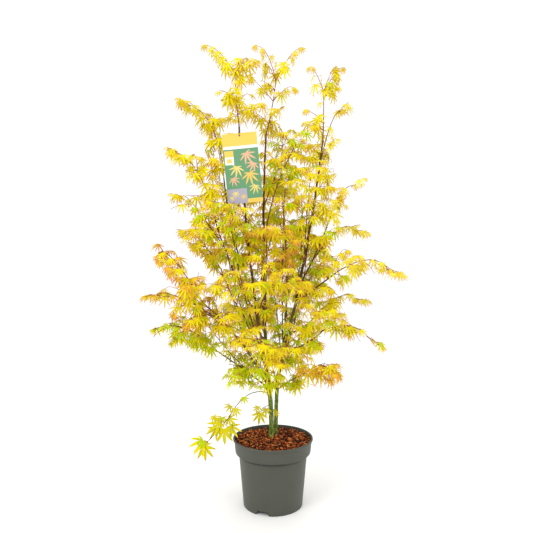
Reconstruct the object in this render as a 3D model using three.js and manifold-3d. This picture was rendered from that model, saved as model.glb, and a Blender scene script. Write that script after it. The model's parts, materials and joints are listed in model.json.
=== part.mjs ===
// A Japanese maple in a round nursery pot: two green stems fork into four upright leaders and fifteen
// arching boughs, which carry hanging masses of five-lobed leaves, and a plant label hangs on one leader.
// Millimetres, +Z up, the front of the plant faces -Y, and the origin is the centre of the pot's underside.
import * as THREE from "three";
import { mergeVertices } from "three/addons/utils/BufferGeometryUtils.js";
import Module from "manifold-3d";

const wasm = await Module();
wasm.setup();

// Pot and soil
const POT = {
  rimRadius: 140,
  height: 232,
  lipHeight: 7,
  collarRadius: 136,
  collarFootRadius: 132,
  collarFootHeight: 186,
  shoulderRadius: 119.5,
  shoulderHeight: 179,
  footRadius: 103,
  footRingWidth: 3.5,
  wall: 2.5,
  rimWall: 5,
  padRadius: 60,
  channelHeight: 10,
  notchFootWidth: 45,
  notchHeadWidth: 33,
  notchHeight: 14,
  notches: 3,
  firstNotchDeg: -20,
  sides: 32,
};
const SOIL = { edgeHeight: 221, crownHeight: 226, crownRadius: 78 };
const GAP = 0.35;

// Leaves, larger than life, and the three-sided twigs that carry them in pairs
const LEAF = {
  radius: 60,
  heart: 0.3,
  thickness: 2.6,
  notch: 0.36,
  droop: 0.2,
  lobes: [
    { angle: -82, length: 0.64 },
    { angle: -42, length: 0.9 },
    { angle: 0, length: 1 },
    { angle: 42, length: 0.9 },
    { angle: 82, length: 0.64 },
  ],
};
const TWIG = { stemRadius: 3.2, stemTipRadius: 2.3, stemSteps: 3, rootRadius: 0.9, endRadius: 1.5, stagger: 2.5 };
const CLEARANCE = 1.2;
const SPOKE_RADIUS = 3;
const LOWEST_LEAF = 150;
const LEAF_TURNS = [[58, -58], [80, -40], [40, -80], [30], [-30], [75], [-75]];
const LEAF_HANGS = [0.85, 0.5, 1.15];
const ROOT_FLARE = 0.16;
const UP = new THREE.Vector3(0, 0, 1);

// Label card, hung through a hole in its top edge by a small tie round the left leader
const CARD = {
  width: 118,
  height: 237,
  thickness: 0.8,
  leanDeg: 5.6,
  holeRadius: 3,
  holeDrop: 9,
  strips: 5,
  hole: [-114, -73, 1272],
};
const TIE = { wireRadius: 0.9, clearance: 0.25, rise: 8 };

// A stem, bough or leader: it leaves its parent at a share of the parent's length, and passes via to tip
function limb(name, parent, at, via, tip, baseRadius, tipRadius, sides = 5) {
  return { name, parent, at, via, tip, baseRadius, tipRadius, sides };
}

const STEMS = [
  {
    ...limb("front_stem", null, 0, [-7.5, 14, 330], [-17, 12, 425], 8.2, 7.2, 8),
    base: [-6, 15, SOIL.crownHeight - 4],
  },
  {
    ...limb("back_stem", null, 0, [12, 51, 325], [16, 50, 425], 6.8, 6.4, 8),
    base: [10, 51, SOIL.crownHeight - 4],
  },
];
const BOUGHS = [
  limb("leader_middle", "front_stem", 1, [-35, 60, 850], [-25, 60, 1310], 6.4, 3),
  limb("leader_right", "back_stem", 1, [110, 10, 850], [175, 0, 1272], 6.6, 3),
  limb("leader_left", "front_stem", 0.92, [-80, -20, 850], [-115, -60, 1305], 5.6, 3),
  limb("leader_back", "back_stem", 0.93, [50, 110, 710], [35, 140, 1100], 5.2, 2.9),
  limb("bough_left_upper", "leader_left", 0.36, [-138, 10, 930], [-180, 15, 1200], 3.8, 2.8),
  limb("bough_left_high", "leader_left", 0.28, [-140, -70, 830], [-200, -80, 1010], 3.8, 2.8),
  limb("bough_left_mid", "leader_middle", 0.16, [-130, 90, 680], [-195, 120, 820], 4, 2.8),
  limb("bough_left_long", "front_stem", 0.88, [-120, -60, 585], [-230, -95, 705], 5, 2.8),
  limb("bough_left_low", "front_stem", 0.86, [-95, 30, 455], [-200, 40, 525], 3.8, 2.8),
  limb("bough_drooping", "front_stem", 0.78, [-90, -50, 400], [-145, -90, 330], 3.2, 2.6),
  limb("bough_right_high", "leader_right", 0.4, [145, -40, 870], [185, -50, 970], 3.8, 2.8),
  limb("bough_right_long", "leader_right", 0.33, [145, -35, 755], [215, -60, 810], 4.2, 2.8),
  limb("bough_right_mid", "leader_right", 0.2, [115, 65, 610], [160, 90, 655], 3.8, 2.8),
  limb("bough_right_low", "leader_right", 0.12, [110, -50, 565], [165, -110, 620], 4, 2.8),
  limb("bough_right_foot", "back_stem", 0.8, [60, -5, 430], [95, -45, 455], 3.4, 2.6),
  limb("bough_front_low", "front_stem", 0.72, [-20, -75, 450], [-25, -150, 540], 4, 2.8),
  limb("bough_front_high", "leader_left", 0.2, [-45, -90, 680], [-20, -155, 745], 3.8, 2.8),
  limb("bough_back_low", "back_stem", 0.85, [-15, 140, 490], [-50, 200, 570], 4, 2.8),
  limb("bough_back_high", "leader_back", 0.35, [60, 190, 780], [70, 240, 850], 3.8, 2.8),
];

// A mass of foliage: its stem leaves a limb at a share of that limb's length, or goes on from its end, and
// reaches to tip. Pairs of side twigs stand along it, up to spread long, and it ends in a fork of two twigs,
// whose lengths on the left and on the right are given. Its leaves are size times as large as the usual one.
function mass(name, parent, at, tip, spread, pairs, fork, size = 1) {
  return { name, parent, at, tip, spread, pairs, fork, size };
}

const MASSES = [
  mass("foliage_leader_middle", "leader_middle", 1, [12, 60, 1530], 75, 3, [117, 114], 0.9),
  mass("foliage_leader_left", "leader_left", 1, [-127, -60, 1484], 75, 3, [140, 80], 0.9),
  mass("foliage_leader_right", "leader_right", 1, [181, 0, 1460], 65, 3, [88, 96], 0.9),
  mass("foliage_leader_back", "leader_back", 1, [40, 165, 1330], 85, 3, [70, 80]),
  mass("foliage_left_upper", "bough_left_upper", 1, [-308, 5, 1392], 70, 3, [35, 35]),
  mass("foliage_left_high", "bough_left_high", 1, [-295, -90, 1225], 75, 3, [35, 35]),
  mass("foliage_left_mid", "bough_left_mid", 1, [-300, 130, 990], 75, 3, [35, 35]),
  mass("foliage_left_long", "bough_left_long", 1, [-355, -125, 868], 75, 3, [35, 35]),
  mass("foliage_left_low", "bough_left_low", 1, [-392, 20, 625], 80, 3, [35, 35]),
  mass("foliage_drooping", "bough_drooping", 1, [-220, -110, 275], 55, 2, [30, 30], 0.85),
  mass("foliage_right_high", "bough_right_high", 1, [275, -60, 1130], 75, 2, [35, 35]),
  mass("foliage_right_long", "bough_right_long", 1, [372, -90, 818], 75, 3, [35, 35]),
  mass("foliage_right_mid", "bough_right_mid", 1, [265, 130, 725], 75, 2, [35, 35]),
  mass("foliage_right_low", "bough_right_low", 1, [298, -155, 625], 75, 3, [35, 35]),
  mass("foliage_right_foot", "bough_right_foot", 1, [165, -85, 500], 60, 2, [35, 35]),
  mass("foliage_front_low", "bough_front_low", 1, [-30, -275, 600], 85, 2, [45, 45]),
  mass("foliage_front_high", "bough_front_high", 1, [10, -285, 815], 90, 2, [50, 50]),
  mass("foliage_back_low", "bough_back_low", 1, [-80, 340, 650], 90, 3, [50, 50]),
  mass("foliage_back_high", "bough_back_high", 1, [90, 360, 960], 90, 3, [50, 50]),
  mass("foliage_back_right", "leader_right", 0.3, [225, 230, 870], 85, 3, [50, 50]),
  mass("foliage_centre_high", "leader_middle", 0.7, [85, -90, 1275], 80, 3, [50, 50]),
  mass("foliage_right_inner", "leader_right", 0.5, [120, -175, 1120], 80, 3, [50, 50]),
  mass("foliage_right_crest", "leader_right", 0.88, [205, 60, 1360], 60, 2, [35, 35]),
  mass("foliage_right_bend", "bough_right_high", 0.45, [258, 50, 975], 75, 2, [35, 35]),
  mass("foliage_left_bend", "bough_left_high", 0.7, [-285, -30, 1080], 70, 2, [35, 35]),
  mass("foliage_left_reach", "bough_left_long", 0.75, [-383, -50, 745], 75, 3, [35, 35]),
  mass("foliage_left_foot", "bough_left_low", 0.35, [-150, -80, 500], 60, 2, [40, 40]),
  mass("foliage_left_front", "leader_left", 0.55, [-150, -200, 1020], 85, 3, [50, 50]),
  mass("foliage_centre_front", "leader_middle", 0.42, [5, -160, 950], 85, 3, [50, 50]),
  mass("foliage_front_left", "bough_left_long", 0.45, [-150, -235, 800], 85, 3, [50, 50]),
  mass("foliage_front_right", "bough_right_low", 0.6, [150, -235, 690], 80, 2, [50, 50]),
  mass("foliage_back_crest", "leader_back", 0.7, [-10, 280, 1130], 90, 3, [50, 50]),
  mass("foliage_back_left", "leader_middle", 0.5, [-160, 220, 1100], 85, 3, [50, 50]),
  mass("foliage_back_foot", "bough_back_low", 0.45, [90, 190, 500], 75, 2, [45, 45]),
  mass("foliage_low_sprig", "front_stem", 0.62, [-44, -12, 345], 30, 0, [12, 16], 0.5),
];

const vec = (p) => new THREE.Vector3(...p);

// Seeded numbers from 0 to 1, the same on each run
function seeded(seed) {
  let state = (seed * 7919 + 104729) % 4294967296;
  return () => {
    state = (state * 1664525 + 1013904223) % 4294967296;
    return state / 4294967296;
  };
}

// A merged, indexed geometry as a solid, and back
function solidOf(geometry) {
  const bare = geometry.clone();
  bare.deleteAttribute("normal");
  bare.deleteAttribute("uv");
  const merged = mergeVertices(bare, 1e-4);
  return new wasm.Manifold(
    new wasm.Mesh({
      numProp: 3,
      vertProperties: new Float32Array(merged.attributes.position.array),
      triVerts: new Uint32Array(merged.index.array),
    }),
  );
}

function geometryOf(solid) {
  const mesh = solid.getMesh();
  const positions = new Float32Array(mesh.numVert * 3);
  for (let i = 0; i < mesh.numVert; i++) {
    positions.set(mesh.vertProperties.subarray(i * mesh.numProp, i * mesh.numProp + 3), i * 3);
  }
  const geometry = new THREE.BufferGeometry();
  geometry.setAttribute("position", new THREE.BufferAttribute(positions, 3));
  geometry.setIndex(new THREE.BufferAttribute(new Uint32Array(mesh.triVerts), 1));
  geometry.computeVertexNormals();
  return geometry;
}

// The largest closed body of a solid, so that a scrap left by a cut is dropped
function largestBody(solid) {
  const bodies = solid.decompose();
  return bodies.reduce((best, body) => (body.volume() > best.volume() ? body : best), bodies[0]);
}

// Two unit vectors square to a direction, the first as level as can be
function squareTo(direction) {
  const level = new THREE.Vector3().crossVectors(direction, UP);
  if (level.length() < 0.45) level.set(1, 0, 0).addScaledVector(direction, -direction.x);
  level.normalize();
  return [level, new THREE.Vector3().crossVectors(level, direction).normalize()];
}

// A closed tapering tube of flat-sided rings through points
function tube(points, radii, sides) {
  const positions = [];
  const faces = [];
  let across = squareTo(points[1].clone().sub(points[0]).normalize())[0];
  points.forEach((point, i) => {
    const before = points[Math.max(i - 1, 0)];
    const after = points[Math.min(i + 1, points.length - 1)];
    const along = after.clone().sub(before).normalize();
    across = across.clone().addScaledVector(along, -across.dot(along)).normalize();
    const third = new THREE.Vector3().crossVectors(along, across);
    for (let k = 0; k < sides; k++) {
      const turn = (2 * Math.PI * k) / sides;
      const spot = point
        .clone()
        .addScaledVector(across, radii[i] * Math.cos(turn))
        .addScaledVector(third, radii[i] * Math.sin(turn));
      positions.push(spot.x, spot.y, spot.z);
    }
  });
  for (let i = 0; i + 1 < points.length; i++) {
    for (let k = 0; k < sides; k++) {
      const next = (k + 1) % sides;
      const [a, b] = [i * sides + k, i * sides + next];
      faces.push(a, b, b + sides, a, b + sides, a + sides);
    }
  }
  const last = (points.length - 1) * sides;
  for (let k = 1; k + 1 < sides; k++) {
    faces.push(0, k + 1, k);
    faces.push(last, last + k, last + k + 1);
  }
  const geometry = new THREE.BufferGeometry();
  geometry.setAttribute("position", new THREE.BufferAttribute(new Float32Array(positions), 3));
  geometry.setIndex(faces);
  return geometry;
}

// A curve from start to end that passes via at its middle
function curveThrough(start, via, end) {
  const bend = via.clone().multiplyScalar(2).addScaledVector(start, -0.5).addScaledVector(end, -0.5);
  return new THREE.QuadraticBezierCurve3(start, bend, end);
}

// One drain notch's cutter: a prism narrower at its head, centred on the foot ring's depth
function notchGeometry() {
  const [foot, head] = [POT.notchFootWidth / 2, POT.notchHeadWidth / 2];
  const shape = new THREE.Shape([
    new THREE.Vector2(-foot - 2, -4),
    new THREE.Vector2(foot + 2, -4),
    new THREE.Vector2(head, POT.notchHeight),
    new THREE.Vector2(-head, POT.notchHeight),
  ]);
  const depth = 26;
  return new THREE.ExtrudeGeometry(shape, { depth, bevelEnabled: false })
    .translate(0, 0, -depth / 2)
    .rotateX(Math.PI / 2);
}

// Pot: a turned shell whose floor stands on a middle pad and a foot ring, with a raised channel between
// them that the drain notches in the ring open into
function potGeometry() {
  const foot = POT.footRadius;
  const inFoot = foot - POT.footRingWidth;
  const shoulderIn = POT.shoulderRadius - POT.wall;
  const profile = [
    [0, 0],
    [POT.padRadius, 0],
    [POT.padRadius + 5, POT.channelHeight],
    [inFoot - 1, POT.channelHeight],
    [inFoot, 0],
    [foot, 0],
    [POT.shoulderRadius, POT.shoulderHeight],
    [POT.collarFootRadius - 3, POT.shoulderHeight + 1.5],
    [POT.collarFootRadius - 0.5, POT.shoulderHeight + 3.5],
    [POT.collarFootRadius, POT.collarFootHeight],
    [POT.collarRadius, POT.height - POT.lipHeight - 2],
    [POT.rimRadius, POT.height - POT.lipHeight],
    [POT.rimRadius, POT.height - 1],
    [POT.rimRadius - 1.5, POT.height],
    [POT.rimRadius - POT.rimWall, POT.height],
    [POT.collarFootRadius - POT.wall, POT.collarFootHeight],
    [shoulderIn, POT.shoulderHeight + 2],
    [foot - POT.wall, POT.channelHeight + POT.wall],
    [POT.padRadius + 3, POT.channelHeight + POT.wall],
    [POT.padRadius - 2, POT.wall],
    [0, POT.wall],
  ];
  const shell = new THREE.LatheGeometry(
    profile.map(([r, z]) => new THREE.Vector2(r, z)),
    POT.sides,
  ).rotateX(Math.PI / 2);
  let pot = solidOf(shell);
  for (let i = 0; i < POT.notches; i++) {
    const turn = THREE.MathUtils.degToRad(POT.firstNotchDeg + (360 * i) / POT.notches);
    const notch = notchGeometry().translate(0, -(foot + 2), 0).rotateZ(turn);
    pot = pot.subtract(solidOf(notch));
  }
  return geometryOf(pot);
}

// Soil: the planting mix that fills the pot, clear of its wall, with a low flat crown that the stems stand on
function soilGeometry() {
  const floor = POT.channelHeight + POT.wall + GAP;
  const slopeAt = (z) => {
    const low = [POT.footRadius - POT.wall, POT.channelHeight + POT.wall];
    const high = [POT.shoulderRadius - POT.wall, POT.shoulderHeight];
    return low[0] + ((high[0] - low[0]) * (z - low[1])) / (high[1] - low[1]) - 2 * GAP;
  };
  const collarIn = POT.collarFootRadius - POT.wall - 2 * GAP;
  const rimIn = POT.rimRadius - POT.rimWall - 2 * GAP;
  const collarShare = (SOIL.edgeHeight - POT.collarFootHeight) / (POT.height - POT.collarFootHeight);
  const profile = [
    [0, floor],
    [slopeAt(floor), floor],
    [slopeAt(POT.shoulderHeight + 3), POT.shoulderHeight + 3],
    [collarIn - 0.6, POT.collarFootHeight + 1],
    [collarIn + (rimIn - collarIn) * collarShare, SOIL.edgeHeight],
    [SOIL.crownRadius, SOIL.crownHeight],
    [0, SOIL.crownHeight],
  ];
  const body = new THREE.LatheGeometry(
    profile.map(([r, z]) => new THREE.Vector2(r, z)),
    POT.sides,
  );
  return geometryOf(solidOf(body.rotateX(Math.PI / 2)));
}

// Stems and boughs
function flare(limbSpec, height) {
  return limbSpec.base ? 1 + ROOT_FLARE * Math.exp(-(height - limbSpec.base[2]) / 20) : 1;
}

function limbSolid(spec, extra) {
  const steps = Math.max(4, Math.round(spec.curve.getLength() / 95));
  const points = [];
  const radii = [];
  for (let i = 0; i <= steps; i++) {
    const share = spec.base && i > 0 ? (i - 0.4) / (steps - 0.4) : i / steps;
    const point = spec.curve.getPointAt(share);
    points.push(point);
    const plain = spec.baseRadius + (spec.tipRadius - spec.baseRadius) * share;
    radii.push(plain * flare(spec, point.z) + extra);
  }
  const grown = solidOf(tube(points, radii, spec.sides));
  if (!spec.base) return grown;
  const ground = new THREE.BoxGeometry(120, 120, 40).translate(0, 30, SOIL.crownHeight + GAP - 20);
  return grown.subtract(solidOf(ground));
}

// The capsules that stand for what is already placed: two ends, a radius and the part they belong to
const placed = [];

function capsule(part, a, b, radius) {
  const middle = a.clone().add(b).multiplyScalar(0.5);
  return { part, a, b, radius, middle, reach: a.distanceTo(middle) + radius };
}

// The least distance between the segments a-b and c-d
function segmentGap(a, b, c, d) {
  const u = b.clone().sub(a);
  const v = d.clone().sub(c);
  const w = a.clone().sub(c);
  const [uu, uv, vv, uw, vw] = [u.dot(u), u.dot(v), v.dot(v), u.dot(w), v.dot(w)];
  const clamp = (x) => Math.min(1, Math.max(0, x));
  const denominator = uu * vv - uv * uv;
  let s = denominator > 1e-9 ? clamp((uv * vw - vv * uw) / denominator) : 0;
  const t = vv > 1e-9 ? clamp((uv * s + vw) / vv) : 0;
  s = uu > 1e-9 ? clamp((uv * t - uw) / uu) : 0;
  return w.addScaledVector(u, s).addScaledVector(v, -t).length();
}

function isClear(wanted, ignored) {
  return wanted.every((one) =>
    placed.every(
      (other) =>
        one.middle.distanceTo(other.middle) > one.reach + other.reach + CLEARANCE ||
        ignored.includes(other.part) ||
        segmentGap(one.a, one.b, other.a, other.b) > one.radius + other.radius + CLEARANCE,
    ),
  );
}

const limbs = new Map();
const meshes = [];

function addMesh(name, geometry, material) {
  const mesh = new THREE.Mesh(geometry, material);
  mesh.name = name;
  meshes.push(mesh);
}

const plastic = new THREE.MeshStandardMaterial({ color: 0x5c6058, roughness: 0.55, metalness: 0 });
const barkMulch = new THREE.MeshStandardMaterial({ color: 0x6b3318, roughness: 0.95, metalness: 0 });
const greenBark = new THREE.MeshStandardMaterial({ color: 0x5f7a2c, roughness: 0.7, metalness: 0 });
const brownBark = new THREE.MeshStandardMaterial({ color: 0x5a3a26, roughness: 0.75, metalness: 0 });
const leafYellow = new THREE.MeshStandardMaterial({ color: 0xdcc81e, roughness: 0.6, metalness: 0 });
const cardYellow = new THREE.MeshStandardMaterial({ color: 0xf5dc50, roughness: 0.4, metalness: 0 });
const tieBlack = new THREE.MeshStandardMaterial({ color: 0x1e1e1e, roughness: 0.5, metalness: 0 });

addMesh("pot", potGeometry(), plastic);
addMesh("soil", soilGeometry(), barkMulch);

for (const spec of [...STEMS, ...BOUGHS]) {
  const start = spec.base ? vec(spec.base) : limbs.get(spec.parent).curve.getPointAt(spec.at);
  spec.curve = curveThrough(start, vec(spec.via), vec(spec.tip));
  let solid = limbSolid(spec, 0);
  for (const other of limbs.values()) solid = solid.subtract(limbSolid(other, GAP));
  const whole = solid.volume();
  solid = largestBody(solid);
  if (solid.volume() < 0.9 * whole) throw new Error(spec.name + " is cut in two by another limb");
  limbs.set(spec.name, spec);
  const points = spec.curve.getSpacedPoints(12);
  const width = (i) => spec.baseRadius + ((spec.tipRadius - spec.baseRadius) * i) / 12;
  points.slice(1).forEach((point, i) => placed.push(capsule(spec.name, points[i], point, width(i))));
  addMesh(spec.name, geometryOf(solid), spec.base ? greenBark : brownBark);
}

// Label card and its tie
function cardGeometry() {
  const card = new THREE.BoxGeometry(CARD.width, CARD.thickness, CARD.height)
    .translate(0, 0, CARD.holeDrop - CARD.height / 2);
  const hole = new THREE.CylinderGeometry(CARD.holeRadius, CARD.holeRadius, 4, 10);
  const cut = geometryOf(solidOf(card).subtract(solidOf(hole)));
  return cut.rotateY(THREE.MathUtils.degToRad(-CARD.leanDeg)).translate(...CARD.hole);
}

// The tie passes through the hole, up the front of the card, over its top edge and round the leader
function tieGeometry() {
  const hole = vec(CARD.hole);
  const spec = limbs.get("leader_left");
  const leader = pointAtHeight(spec.curve, hole.z + TIE.rise);
  const reach = spec.tipRadius + TIE.wireRadius + TIE.clearance;
  const from = (base, x, y, z) => new THREE.Vector3(base.x + x, base.y + y, hole.z + z);
  const round = (deg, z) => {
    const turn = THREE.MathUtils.degToRad(deg);
    return from(leader, reach * Math.cos(turn), reach * Math.sin(turn), z);
  };
  const path = new THREE.CatmullRomCurve3(
    [
      from(hole, 0, 0, 0),
      from(hole, 0, -3.4, 5.5),
      from(hole, -1, 0, 13),
      round(195, TIE.rise + 3),
      round(143, TIE.rise + 1.5),
      round(90, TIE.rise),
      round(37, TIE.rise - 1.5),
      round(-15, TIE.rise - 3),
      from(hole, 2, 3.4, 0.5),
    ],
    true,
  );
  return new THREE.TubeGeometry(path, 26, TIE.wireRadius, 4, true);
}

// The card's face as capsules, with room kept in front of it so that it shows
for (let i = 0; i < CARD.strips; i++) {
  const lean = THREE.MathUtils.degToRad(-CARD.leanDeg);
  const spot = (z, y) => {
    const x = CARD.width * ((i + 0.5) / CARD.strips - 0.5);
    return new THREE.Vector3(x, y, z).applyAxisAngle(new THREE.Vector3(0, 1, 0), lean).add(vec(CARD.hole));
  };
  const bottom = CARD.holeDrop - CARD.height;
  placed.push(capsule("label_card", spot(CARD.holeDrop, 0), spot(bottom, 0), 12));
  placed.push(capsule("label_card", spot(CARD.holeDrop, -30), spot(bottom + 40, -30), 20));
}

function pointAtHeight(curve, height) {
  return curve.getSpacedPoints(200).reduce((best, point) =>
    Math.abs(point.z - height) < Math.abs(best.z - height) ? point : best,
  );
}

// Foliage: each mass grows from one stem by the same seeded rule
function massStem(spec) {
  const parent = limbs.get(spec.parent);
  const ahead = parent.curve.getTangentAt(spec.at);
  const start = parent.curve.getPointAt(spec.at);
  if (spec.at === 1) start.addScaledVector(ahead, GAP);
  const end = vec(spec.tip);
  const length = end.distanceTo(start);
  const bend =
    spec.at === 1
      ? start.clone().addScaledVector(ahead, 0.45 * length)
      : start.clone().add(end).multiplyScalar(0.5).addScaledVector(UP, 0.16 * length);
  return new THREE.QuadraticBezierCurve3(start, bend, end);
}

// The point and the heading at a share of a run of straight stretches of equal length
function along(points, share) {
  const place = Math.min(share * (points.length - 1), points.length - 1.001);
  const i = Math.floor(place);
  return {
    point: points[i].clone().lerp(points[i + 1], place - i),
    heading: points[i + 1].clone().sub(points[i]).normalize(),
  };
}

// A side twig: where it starts on the stem, where it ends, and the side it stands on
function sideTwig(spec, share, side, spreadDeg, length, plane, random) {
  const { point, heading: ahead } = along(spec.points, share);
  const from = point.addScaledVector(ahead, side * TWIG.stagger);
  const [level, high] = squareTo(ahead);
  const turn = plane + (random() - 0.5) * 0.5;
  const out = level.multiplyScalar(side * Math.cos(turn)).addScaledVector(high, side * Math.sin(turn));
  const angle = THREE.MathUtils.degToRad(spreadDeg + (random() - 0.5) * 12);
  const heading = ahead.clone().multiplyScalar(Math.cos(angle)).addScaledVector(out, Math.sin(angle));
  const to = from.clone().addScaledVector(heading, length);
  return { part: spec.name + share + side, from, to, heading, leafRadius: spec.size * LEAF.radius };
}

function growTwigs(spec, index) {
  const random = seeded(index + 1);
  const upright = Math.abs(along(spec.points, 0.5).heading.z) > 0.8;
  const twigs = [];
  for (let i = 0; i < spec.pairs; i++) {
    const share = 0.22 + (0.6 * i) / Math.max(spec.pairs - 1, 1);
    const plane = i % 2 === 0 ? 0.1 : upright ? Math.PI / 2 : 0.6;
    for (const side of [-1, 1]) {
      const length = spec.spread * (1 - 0.3 * share) * (0.85 + 0.3 * random());
      twigs.push(sideTwig(spec, share, side, 60, length, plane, random));
    }
  }
  for (const side of [-1, 1]) {
    twigs.push(sideTwig(spec, 0.95, side, 32, spec.fork[side < 0 ? 0 : 1], 0.1, random));
  }
  return twigs;
}

// A leaf that hangs from the end of a twig: its heart, its plane and the rim of its blade
function leafAt(twig, turnDeg, hang) {
  const level = new THREE.Vector3(twig.heading.x, twig.heading.y, 0);
  if (level.length() < 0.2) level.set(Math.sign(twig.to.x) || 1, -0.4, 0);
  level.normalize().applyAxisAngle(UP, THREE.MathUtils.degToRad(turnDeg));
  const heading = level.clone().multiplyScalar(Math.cos(hang)).addScaledVector(UP, -Math.sin(hang));
  const across = new THREE.Vector3().crossVectors(heading, UP).normalize();
  const normal = new THREE.Vector3().crossVectors(across, heading).normalize();
  const radius = twig.leafRadius;
  const heart = twig.to.clone().addScaledVector(heading, LEAF.heart * radius);
  const spot = (angleDeg, reach) => {
    const turn = THREE.MathUtils.degToRad(angleDeg);
    return heart
      .clone()
      .addScaledVector(heading, reach * radius * Math.cos(turn))
      .addScaledVector(across, reach * radius * Math.sin(turn))
      .addScaledVector(normal, -LEAF.droop * reach * reach * radius);
  };
  const tips = LEAF.lobes.map((lobe) => spot(lobe.angle, lobe.length));
  const notches = LEAF.lobes.slice(1).map((lobe, i) => spot((lobe.angle + LEAF.lobes[i].angle) / 2, LEAF.notch));
  const rim = tips.flatMap((tip, i) => (i < notches.length ? [tip, notches[i]] : [tip]));
  return { heart, normal, tips, rim };
}

// A twig and the leaves at its end as one closed skin: the corners of the twig's end run on into the blades
function twigSolid({ twig, leaves }) {
  const spots = [];
  const faces = [];
  const add = (spot) => spots.push(spot) - 1;
  const [level, high] = squareTo(twig.heading);
  const corners = (centre, radius) => [
    add(centre.clone().addScaledVector(level, -radius)),
    add(centre.clone().addScaledVector(level, radius)),
    add(centre.clone().addScaledVector(high, radius)),
  ];
  const [rootLeft, rootRight, rootTop] = corners(twig.from, TWIG.rootRadius);
  const [left, right, top] = corners(twig.to, TWIG.endRadius);
  const bottom = leaves.length > 1 ? [left, add(twig.to), right] : [left, right];
  faces.push(rootLeft, rootRight, rootTop);
  faces.push(rootRight, right, rootTop, rootTop, right, top);
  faces.push(rootTop, top, rootLeft, rootLeft, top, left);
  bottom.slice(1).forEach((corner, i) => faces.push(rootLeft, bottom[i], corner));
  faces.push(rootLeft, right, rootRight);
  leaves.forEach((leaf, i) => {
    const [from, to] = [bottom[i], bottom[i + 1]];
    const upper = add(leaf.heart.clone().addScaledVector(leaf.normal, LEAF.thickness / 2));
    const under = add(leaf.heart.clone().addScaledVector(leaf.normal, -LEAF.thickness / 2));
    const rim = [from, ...leaf.rim.map(add), to];
    faces.push(upper, top, to, upper, from, top, under, to, from);
    rim.slice(1).forEach((b, k) => faces.push(upper, b, rim[k], under, rim[k], b));
  });
  const geometry = new THREE.BufferGeometry();
  const positions = spots.flatMap((spot) => [spot.x, spot.y, spot.z]);
  geometry.setAttribute("position", new THREE.BufferAttribute(new Float32Array(positions), 3));
  geometry.setIndex(faces);
  return solidOf(geometry);
}

function leafCapsules(part, leaf) {
  const heart = capsule(part, leaf.heart, leaf.heart, 0.3 * LEAF.radius);
  return [heart, ...leaf.tips.map((tip) => capsule(part, leaf.heart, tip, SPOKE_RADIUS))];
}

// The twig's leaves hang in the first of a few poses that are clear of all else: a pair where it can be,
// else one leaf, else neither leaf nor twig is made
function hangLeaves(twig, ignored) {
  const wood = [capsule(twig.part, twig.from.clone().lerp(twig.to, 0.3), twig.to, TWIG.endRadius)];
  if (!isClear(wood, ignored)) return null;
  for (const turns of LEAF_TURNS) {
    for (const hang of LEAF_HANGS) {
      const leaves = turns.map((turn) => leafAt(twig, turn, hang));
      const blades = leaves.flatMap((leaf) => leafCapsules(twig.part, leaf));
      const lowest = Math.min(...leaves.flatMap((leaf) => leaf.tips.map((tip) => tip.z)));
      if (lowest < LOWEST_LEAF || !isClear(blades, [])) continue;
      placed.push(...wood, ...blades);
      return { twig, leaves };
    }
  }
  return null;
}

for (const spec of MASSES) {
  spec.points = massStem(spec).getSpacedPoints(TWIG.stemSteps);
  spec.points.slice(1).forEach((point, i) => placed.push(capsule(spec.name, spec.points[i], point, TWIG.stemRadius)));
}
MASSES.forEach((spec, index) => {
  const hung = growTwigs(spec, index).map((twig) => hangLeaves(twig, [spec.name, spec.parent]));
  spec.sprays = hung.filter(Boolean);
});

function massSolid(spec) {
  const last = spec.points.length - 1;
  const radii = spec.points.map((_, i) => TWIG.stemRadius + ((TWIG.stemTipRadius - TWIG.stemRadius) * i) / last);
  const joined = wasm.Manifold.union([solidOf(tube(spec.points, radii, 3)), ...spec.sprays.map(twigSolid)]);
  return largestBody(joined.subtract(limbSolid(limbs.get(spec.parent), GAP)));
}

for (const spec of MASSES) {
  addMesh(spec.name, geometryOf(massSolid(spec)), leafYellow);
}

addMesh("label_card", cardGeometry(), cardYellow);
addMesh("label_tie", tieGeometry(), tieBlack);

const plant = new THREE.Group();
plant.name = "potted_japanese_maple";
plant.add(...meshes);

export default plant;
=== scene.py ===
# Looks for a Japanese maple in a round nursery pot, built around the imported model.
# Metres, +Z up, the front of the plant faces -Y. Tables of limbs and foliage are in millimetres.
import json
from math import copysign, cos, hypot, pi, radians, sin, sqrt
from types import SimpleNamespace

import bmesh
import bpy
import numpy as np
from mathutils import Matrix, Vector, noise
from numpy.linalg import norm

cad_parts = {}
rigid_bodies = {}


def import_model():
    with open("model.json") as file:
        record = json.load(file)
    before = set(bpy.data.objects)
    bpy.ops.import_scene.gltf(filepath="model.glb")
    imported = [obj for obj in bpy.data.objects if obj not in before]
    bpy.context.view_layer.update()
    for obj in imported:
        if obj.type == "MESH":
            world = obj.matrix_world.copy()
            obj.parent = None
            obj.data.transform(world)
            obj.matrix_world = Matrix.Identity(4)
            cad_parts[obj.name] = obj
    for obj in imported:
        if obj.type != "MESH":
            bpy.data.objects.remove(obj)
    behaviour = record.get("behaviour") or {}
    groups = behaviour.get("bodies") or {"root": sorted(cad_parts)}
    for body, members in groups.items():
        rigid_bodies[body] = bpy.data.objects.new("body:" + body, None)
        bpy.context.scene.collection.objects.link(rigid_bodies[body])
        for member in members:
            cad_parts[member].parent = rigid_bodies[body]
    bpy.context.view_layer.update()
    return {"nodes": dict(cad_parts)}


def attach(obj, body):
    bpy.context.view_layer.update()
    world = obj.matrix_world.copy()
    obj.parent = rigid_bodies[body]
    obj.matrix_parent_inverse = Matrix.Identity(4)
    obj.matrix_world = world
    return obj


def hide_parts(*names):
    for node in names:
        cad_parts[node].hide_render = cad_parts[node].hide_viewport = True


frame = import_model()

MM = 0.001
UP = np.array([0.0, 0.0, 1.0])
NEAR_UPRIGHT = 0.45
PATH_STEPS = 201

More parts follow.
